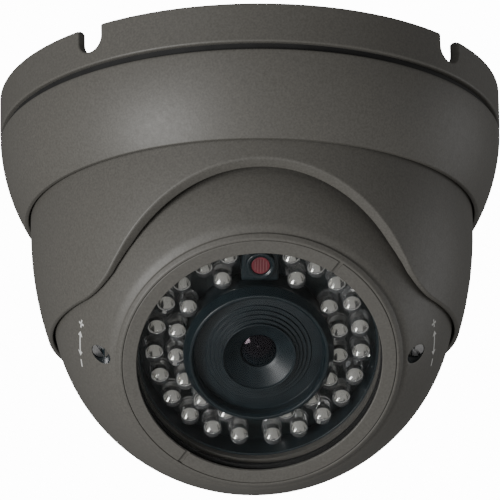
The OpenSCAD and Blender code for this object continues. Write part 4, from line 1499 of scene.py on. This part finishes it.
@dataclass
class LampField:
    """The clear infrared lamps on their board."""

    finishes: Finishes
    place: Matrix
    board_w: float = 25.036
    board_t: float = 1.6
    board_r: float = 38.2
    hole_r: float = 19.5
    body_r: float = 2.5
    flange_r: float = 2.85
    height: float = 8.7
    rings: tuple[LampRing, ...] = (
        LampRing("lamps_outer", 28.2, 11, 17.5, 15.3),
        LampRing("lamps_inner", 22.4, 7, 26.5, 20.0, 12.0),
    )

    def lamp_body(self) -> bpy.types.Object:
        """Builds one clear body standing on its board."""
        dome_z = self.height - self.body_r
        draft = Draft()
        profile = filleted(
            [
                (0, 0.1, 0),
                (self.flange_r, 0.1, 0.15),
                (self.flange_r, 1.0, 0.25),
                (self.body_r, 1.15, 0.15),
                *arc((0, dome_z), self.body_r, 0.0, math.pi / 2 - 0.12, 9),
                (0, self.height, 0),
            ],
            closed=False,
            steps=2,
        )
        draft.lathe(profile, 32, closed=False)
        return draft.build("lamp_body_master", Matrix.Identity(4))

    def lamp_core(self) -> bpy.types.Object:
        """Builds the metal inside one lamp: the cup with its post, and the second post."""
        draft = Draft()
        draft.lathe(
            filleted(
                [
                    (0, 4.1, 0),
                    (0.35, 4.1, 0),
                    (1.15, 5.35, 0.05),
                    (1.3, 5.3, 0.05),
                    (0.85, 3.6, 0),
                    (0.8, 3.1, 0),
                    (0, 3.1, 0),
                ],
                closed=False,
                steps=2,
            ),
            20,
            closed=False,
        )
        draft.block((-0.25, -0.9, 0.15), (0.25, 0.75, 3.3))
        draft.block((-0.22, 1.15, 0.15), (0.22, 1.6, 4.9))
        draft.block((-0.22, 0.95, 4.3), (0.22, 1.6, 5.2))
        return draft.build("lamp_core_master", Matrix.Identity(4))

    def tree(self, name: str) -> bpy.types.NodeTree:
        """Builds the tree that stands lamps on a ring.

        Args:
            name: Name of the tree.

        Returns:
            The tree, with its sizes as named inputs.
        """
        tree = bpy.data.node_groups.new(name, "GeometryNodeTree")
        face = tree.interface
        face.new_socket("Geometry", in_out="INPUT", socket_type="NodeSocketGeometry")
        for label, kind in (
            ("Lamp", "NodeSocketObject"),
            ("Finish", "NodeSocketMaterial"),
            ("Lamps per Side", "NodeSocketInt"),
            ("Ring Radius", "NodeSocketFloat"),
            ("First Angle", "NodeSocketFloat"),
            ("Step Angle", "NodeSocketFloat"),
            ("Extra after First", "NodeSocketFloat"),
            ("Board Height", "NodeSocketFloat"),
            ("Lean", "NodeSocketFloat"),
            ("Seed", "NodeSocketInt"),
        ):
            face.new_socket(label, in_out="INPUT", socket_type=kind)
        face.new_socket("Geometry", in_out="OUTPUT", socket_type="NodeSocketGeometry")

        def node(kind: str, **values: object) -> bpy.types.Node:
            """Adds a node with its attributes."""
            made = tree.nodes.new(kind)
            for key, value in values.items():
                setattr(made, key, value)
            return made

        def maths(operation: str, *terms: object) -> bpy.types.NodeSocket:
            """Adds a Math node on sockets and numbers."""
            made = node("ShaderNodeMath", operation=operation)
            for i, term in enumerate(terms):
                if isinstance(term, bpy.types.NodeSocket):
                    tree.links.new(term, made.inputs[i])
                else:
                    made.inputs[i].default_value = term
            return made.outputs[0]

        given = node("NodeGroupInput").outputs
        index = node("GeometryNodeInputIndex").outputs["Index"]
        pair = maths("FLOOR", maths("DIVIDE", index, 2.0))
        side = maths("SUBTRACT", maths("MULTIPLY", maths("MODULO", index, 2.0), 2.0), 1.0)
        past_first = maths("MINIMUM", pair, 1.0)
        angle = maths("ADD", given["First Angle"], maths("MULTIPLY", pair, given["Step Angle"]))
        angle = maths("ADD", angle, maths("MULTIPLY", past_first, given["Extra after First"]))
        angle = maths("MULTIPLY", maths("RADIANS", angle), side)
        spot = node("ShaderNodeCombineXYZ")
        tree.links.new(maths("MULTIPLY", maths("SINE", angle), given["Ring Radius"]), spot.inputs["X"])
        tree.links.new(maths("MULTIPLY", maths("COSINE", angle), given["Ring Radius"]), spot.inputs["Y"])
        tree.links.new(given["Board Height"], spot.inputs["Z"])
        points = node("GeometryNodePoints")
        tree.links.new(maths("MULTIPLY", given["Lamps per Side"], 2.0), points.inputs["Count"])
        tree.links.new(spot.outputs["Vector"], points.inputs["Position"])
        lean = node("FunctionNodeRandomValue", data_type="FLOAT_VECTOR")
        tree.links.new(given["Seed"], lean.inputs["Seed"])
        tree.links.new(index, lean.inputs["ID"])
        low, high = node("ShaderNodeCombineXYZ"), node("ShaderNodeCombineXYZ")
        negative = maths("MULTIPLY", given["Lean"], -1.0)
        for axis in ("X", "Y"):
            tree.links.new(negative, low.inputs[axis])
            tree.links.new(given["Lean"], high.inputs[axis])
        low.inputs["Z"].default_value, high.inputs["Z"].default_value = 0.0, FULL_TURN
        tree.links.new(low.outputs["Vector"], lean.inputs["Min"])
        tree.links.new(high.outputs["Vector"], lean.inputs["Max"])
        lamp = node("GeometryNodeObjectInfo", transform_space="ORIGINAL")
        tree.links.new(given["Lamp"], lamp.inputs["Object"])
        stand = node("GeometryNodeInstanceOnPoints")
        tree.links.new(points.outputs[0], stand.inputs["Points"])
        tree.links.new(lamp.outputs["Geometry"], stand.inputs["Instance"])
        turn = node("FunctionNodeEulerToRotation")
        tree.links.new(lean.outputs["Value"], turn.inputs["Euler"])
        tree.links.new(turn.outputs["Rotation"], stand.inputs["Rotation"])
        real = node("GeometryNodeRealizeInstances")
        tree.links.new(stand.outputs["Instances"], real.inputs["Geometry"])
        paint = node("GeometryNodeSetMaterial")
        tree.links.new(real.outputs["Geometry"], paint.inputs["Geometry"])
        tree.links.new(given["Finish"], paint.inputs["Material"])
        out = node("NodeGroupOutput")
        tree.links.new(paint.outputs["Geometry"], out.inputs["Geometry"])
        return tree

    def plant(
        self,
        name: str,
        tree: bpy.types.NodeTree,
        ring: LampRing,
        master: bpy.types.Object,
        finish: bpy.types.Material,
    ) -> bpy.types.Object:
        """Stands a ring of one master on the board and makes it a plain mesh.

        Args:
            name: Name of the object.
            tree: The tree that stands lamps on a ring.
            ring: The ring.
            master: What to repeat.
            finish: Its material.

        Returns:
            The object.
        """
        mesh = bpy.data.meshes.new(name)
        piece = bpy.data.objects.new(name, mesh)
        bpy.context.scene.collection.objects.link(piece)
        modifier = piece.modifiers.new("lamps", "NODES")
        modifier.node_group = tree
        values = {
            "Lamp": master,
            "Finish": finish,
            "Lamps per Side": ring.per_side,
            "Ring Radius": ring.radius * MM,
            "First Angle": ring.first,
            "Step Angle": ring.step,
            "Extra after First": ring.extra,
            "Board Height": self.board_w * MM,
            "Lean": math.radians(1.2),
            "Seed": 7,
        }
        for item in tree.interface.items_tree:
            if item.in_out == "INPUT" and item.name in values:
                modifier[item.identifier] = values[item.name]
        freeze(piece)
        piece.data.transform(self.place)
        piece.data.name = name
        return piece

    def board(self) -> bpy.types.Object:
        """Builds the lamp board with rounded edges."""
        draft = Draft()
        draft.lathe(
            filleted(
                [
                    (self.hole_r, self.board_w, 0.15),
                    (self.board_r, self.board_w, 0.15),
                    (self.board_r, self.board_w - self.board_t, 0.15),
                    (self.hole_r, self.board_w - self.board_t, 0.15),
                ],
                steps=2,
            ),
            128,
        )
        return draft.build("lamp_board_disc", self.place)

    def build(self) -> None:
        """Builds the board and both rings of lamps."""
        board = self.board()
        self.finishes.dress(board, Slot.BOARD)
        settle(board, "eyeball", Slot.BOARD, "lamp_board")
        tree = self.tree("lamp_ring")
        body, core = self.lamp_body(), self.lamp_core()
        for ring in self.rings:
            clear = self.plant(f"{ring.node}_bodies", tree, ring, body, self.finishes[Slot.EPOXY])
            settle(clear, "eyeball", Slot.EPOXY, ring.node)
            metal = self.plant(f"{ring.node}_cups", tree, ring, core, self.finishes.reflector)
            settle(metal, "eyeball", Slot.STEEL)
        for master in (body, core):
            bpy.data.objects.remove(master)


@dataclass
class DaylightSensor:
    """The light sensor in its black holder at the top of the window."""

    finishes: Finishes
    place: Matrix
    board_w: float = 25.036
    y: float = 26.4
    sleeve_r: float = 4.0
    cell_r: float = 2.5
    front: float = 10.4
    holder_w: float = 10.0
    low_y: float = 21.1
    high_y: float = 31.7

    def build(self) -> None:
        """Builds the holder, the sleeve and the cell."""
        top = self.board_w + self.front
        holder = Draft()
        half = self.holder_w / 2
        holder.block((-half, self.low_y, self.board_w), (half, self.high_y, top - 2), edge=0.5)
        block = holder.build("sensor_block", self.place)
        self.finishes.dress(block, Slot.PLASTIC)
        settle(block, "eyeball", Slot.PLASTIC, "sensor_holder")
        sleeve = Draft()
        sleeve.lathe(
            filleted(
                [
                    (self.cell_r + 0.15, top - 1.0, 0),
                    (self.cell_r + 0.15, top - 0.3, 0.1),
                    (self.cell_r + 0.7, top, 0.25),
                    (self.sleeve_r, top, 0.45),
                    (self.sleeve_r, self.board_w + 2, 0),
                    (self.cell_r + 0.15, self.board_w + 2, 0),
                ]
            ),
            64,
        )
        cell = Draft()
        cell.lathe(
            filleted(
                [
                    (0, top - 0.35, 0),
                    (self.cell_r, top - 0.45, 0.15),
                    (self.cell_r, top - 2, 0),
                    (0, top - 2, 0),
                ],
                closed=False,
            ),
            48,
            closed=False,
        )
        tracks = Draft()
        for k in range(5):
            x = -1.5 + 0.75 * k
            reach = math.sqrt((self.cell_r - 0.5) ** 2 - x * x)
            tracks.block((x - 0.1, -reach, top - 0.42), (x + 0.1, reach, top - 0.33))
        for draft in (sleeve, cell, tracks):
            draft.points = [(x, y + self.y, z) for x, y, z in draft.points]
        tube = sleeve.build("sensor_tube", self.place)
        self.finishes.dress(tube, Slot.PLASTIC)
        face = cell.build("sensor_cell", self.place)
        self.finishes.dress(face, Slot.PHOTOCELL)
        lines = tracks.build("sensor_tracks", self.place)
        self.finishes.dress(lines, Slot.PHOTOCELL, self.finishes.electrode)
        join(face, lines)
        settle(face, "eyeball", Slot.PHOTOCELL, "light_sensor")
        settle(tube, "eyeball", Slot.PLASTIC)


@dataclass
class LensGroup:
    """The light baffle, the lens's front ring and its front element."""

    finishes: Finishes
    place: Matrix
    rim_r: float = 20.5
    mouth_r: float = 19.0
    sleeve_r: float = 19.3
    bore_r: float = 17.7
    rim_front: float = 38.236
    rim_w: float = 4.0
    taper_w: float = 2.8
    back_w: float = 14.1
    nose_r: float = 10.4
    nose_front: float = 37.986
    base_front: float = 33.286
    glass_r: float = 4.85
    glass_w: float = 34.786

    def baffle(self) -> None:
        """Builds the tapered light baffle."""
        low = self.rim_front - self.rim_w
        sleeve = Draft()
        sleeve.lathe(
            filleted(
                [
                    (self.mouth_r, self.rim_front, 0.45),
                    (self.rim_r, self.rim_front - self.taper_w, 1.2),
                    (self.rim_r, low, 0.3),
                    (self.sleeve_r, low, 0.2),
                    (self.sleeve_r, self.back_w + 0.9, 0.2),
                    (self.bore_r + 0.05, self.back_w + 0.9, 0.1),
                    (self.bore_r + 0.05, self.base_front + 0.02, 0),
                    (self.nose_r + 0.2, self.base_front + 0.02, 0),
                    (self.nose_r + 0.2, self.base_front + 1.0, 0.1),
                    (self.bore_r, self.base_front + 1.0, 0.7),
                    (self.bore_r, self.rim_front - 0.9, 0.3),
                    (self.bore_r + 0.55, self.rim_front, 0.25),
                ]
            ),
            224,
        )
        baffle = sleeve.build("light_baffle", self.place)
        self.finishes.dress(baffle, Slot.PLASTIC)
        settle(baffle, "eyeball", Slot.PLASTIC, "lens_sleeve")

    def nose(self) -> None:
        """Builds the stepped front ring of the lens and the dish round its element."""
        front = self.nose_front
        steps = [(10.1, 0.0), (11.0, 1.0), (12.0, 1.7), (13.1, 2.3), (14.3, 2.9)]
        profile = [
            (self.bore_r - 0.2, front - 3.55, 0.1),
            (self.bore_r - 0.2, self.back_w, 0.2),
            (self.glass_r, self.back_w, 0.2),
            (self.glass_r, self.glass_w - 1.9, 0.1),
            (self.glass_r + 0.1, self.glass_w - 0.7, 0.1),
            (self.glass_r + 0.9, self.glass_w - 0.2, 0.15),
            (9.55, front - 0.5, 0.3),
            (9.75, front, 0.12),
        ]
        for (radius, drop), (_, next_drop) in zip(steps, [*steps[1:], (0.0, 3.3)]):
            profile += [(radius, front - drop, 0.14), (radius + 0.12, front - next_drop, 0.1)]
        nose = Draft()
        nose.lathe(filleted(profile, steps=3), 192)
        ring = nose.build("lens_front_ring", self.place)
        self.finishes.dress(ring, Slot.ANODISED)
        settle(ring, "eyeball", Slot.ANODISED, "lens_nose")

    def element(self) -> None:
        """Builds the bulging front element."""
        bulge = 1.6
        curve = (self.glass_r**2 + bulge**2) / (2 * bulge)
        spread = math.asin(self.glass_r / curve)
        surface = arc((0, self.glass_w - curve), curve, math.pi / 2 - 0.02, math.pi / 2 - spread, 24)
        low = self.glass_w - bulge
        draft = Draft()
        draft.lathe(
            filleted(
                [
                    (0, self.glass_w, 0),
                    *surface,
                    (self.glass_r, low - 0.3, 0.1),
                    (self.glass_r, low - 1.8, 0.1),
                    (0, low - 1.8, 0),
                ],
                closed=False,
            ),
            96,
            closed=False,
        )
        glass = draft.build("front_element", self.place)
        self.finishes.dress(glass, Slot.LENS)
        settle(glass, "eyeball", Slot.LENS, "front_lens")

    def build(self) -> None:
        """Builds the baffle, the nose and the front element."""
        self.baffle()
        self.nose()
        self.element()


# ---------------------------------------------------------------- studio


@dataclass
class Studio:
    """A pale floor, soft lights, a white surround and the camera."""

    target: tuple[float, float, float] = (-0.61, 0.0, -45.1)
    distance: float = 1460.0
    azimuth: float = -2.9
    elevation: float = -20.1
    roll: float = 1.05
    lens: float = 378.05
    floor_z: float = -4.0

    def direction(self, azimuth: float, elevation: float) -> Vector:
        """Gives the unit vector towards an azimuth from the front and an elevation, in degrees."""
        a, e = math.radians(azimuth), math.radians(elevation)
        return Vector((math.sin(a) * math.cos(e), -math.cos(a) * math.cos(e), math.sin(e)))

    def floor(self) -> None:
        """Lays the pale floor."""
        mesh = bpy.data.meshes.new("studio_floor")
        reach = 16.0
        ground = [(-reach, -reach), (reach, -reach), (reach, reach), (-reach, reach)]
        mesh.from_pydata([(x, y, self.floor_z) for x, y in ground], [], [(0, 1, 2, 3)])
        floor = bpy.data.objects.new("studio_floor", mesh)
        bpy.context.scene.collection.objects.link(floor)
        recipe = Recipe("pale_floor")
        cloud = recipe.noise(400.0, 2.0)
        colour = recipe.ramp(cloud, (0.78, 0.78, 0.77), (0.82, 0.82, 0.81))
        recipe.link(colour, recipe.shader.inputs["Base Color"])
        recipe.surface(Roughness=0.8, Emission_Color=(1.0, 0.99, 0.97, 1), Emission_Strength=0.14)
        floor.data.materials.append(recipe.material)

    def surround(self) -> None:
        """Makes the world white behind the object and dimmer as a light."""
        world = bpy.data.worlds.new("surround")
        bpy.context.scene.world = world
        world.use_nodes = True
        tree = world.node_tree
        tree.nodes.clear()
        seen, lit = tree.nodes.new("ShaderNodeBackground"), tree.nodes.new("ShaderNodeBackground")
        seen.inputs["Color"].default_value = (1, 1, 1, 1)
        seen.inputs["Strength"].default_value = 14.0
        lit.inputs["Color"].default_value = (1.0, 0.99, 0.97, 1)
        lit.inputs["Strength"].default_value = 0.13
        path = tree.nodes.new("ShaderNodeLightPath")
        mix = tree.nodes.new("ShaderNodeMixShader")
        out = tree.nodes.new("ShaderNodeOutputWorld")
        tree.links.new(path.outputs["Is Camera Ray"], mix.inputs["Fac"])
        tree.links.new(lit.outputs["Background"], mix.inputs[1])
        tree.links.new(seen.outputs["Background"], mix.inputs[2])
        tree.links.new(mix.outputs["Shader"], out.inputs["Surface"])

    def light(
        self, name: str, azimuth: float, elevation: float, away: float, size: float, power: float
    ) -> None:
        """Hangs a soft light that points at the object.

        Args:
            name: Its name.
            azimuth: Degrees from the front, positive to the right.
            elevation: Degrees above the object.
            away: Distance in metres.
            size: Side of the square panel in metres.
            power: Power in watts.
        """
        data = bpy.data.lights.new(name, "AREA")
        data.shape = "SQUARE"
        data.size = size
        data.energy = power
        lamp = bpy.data.objects.new(name, data)
        bpy.context.scene.collection.objects.link(lamp)
        centre = Vector((0, 0, -0.055))
        toward = self.direction(azimuth, elevation)
        lamp.location = centre + toward * away
        lamp.rotation_euler = toward.to_track_quat("Z", "Y").to_euler()

    def camera(self) -> None:
        """Places the camera."""
        data = bpy.data.cameras.new("camera")
        data.lens = self.lens
        data.sensor_width = 36.0
        data.clip_start, data.clip_end = 0.05, 50.0
        back = self.direction(self.azimuth, self.elevation)
        level = Vector((math.cos(math.radians(self.azimuth)), math.sin(math.radians(self.azimuth)), 0))
        upright = back.cross(level)
        turn = math.radians(self.roll)
        right = level * math.cos(turn) - upright * math.sin(turn)
        up = level * math.sin(turn) + upright * math.cos(turn)
        target = level * self.target[0] + Vector((0, self.target[1], self.target[2]))
        view = Matrix((right, up, back)).transposed().to_4x4()
        view.translation = (target + back * self.distance) * MM
        camera = bpy.data.objects.new("camera", data)
        camera.matrix_world = view
        bpy.context.scene.collection.objects.link(camera)
        bpy.context.scene.camera = camera

    def build(self) -> None:
        """Builds the studio."""
        self.floor()
        self.surround()
        self.light("key", -46, -22, 1.1, 0.42, 9.6)
        self.light("rim", 102, 0, 1.5, 0.8, 3.2)
        self.light("spark", 0, -52, 1.0, 0.04, 0.45)
        self.light("glint", -24, 2, 1.2, 0.06, 0.8)
        self.camera()


def main() -> None:
    """Builds the camera's looks round the frame."""
    logging.basicConfig(level=logging.INFO, format="%(name)s: %(message)s")
    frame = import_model()
    finishes = Finishes()
    finishes.dress_frame(frame["nodes"], frame["record"]["subparts"])
    size = measure()
    place = eyeball_frame(frame["joints"])
    ball_z = place.translation.z / MM
    base = MountingBase(finishes, size["base_r"])
    base.build()
    Cover(finishes, base.radius, base.height, size["cover_top"], size["lip_z"]).build()
    Shroud(finishes, ball_z, size["shroud_top"], size["shroud_low"]).build()
    Eyeball(finishes, place).build()
    Window(finishes, place).build()
    LampField(finishes, place).build()
    DaylightSensor(finishes, place).build()
    LensGroup(finishes, place).build()
    Studio().build()


if __name__ == "__main__":
    main()
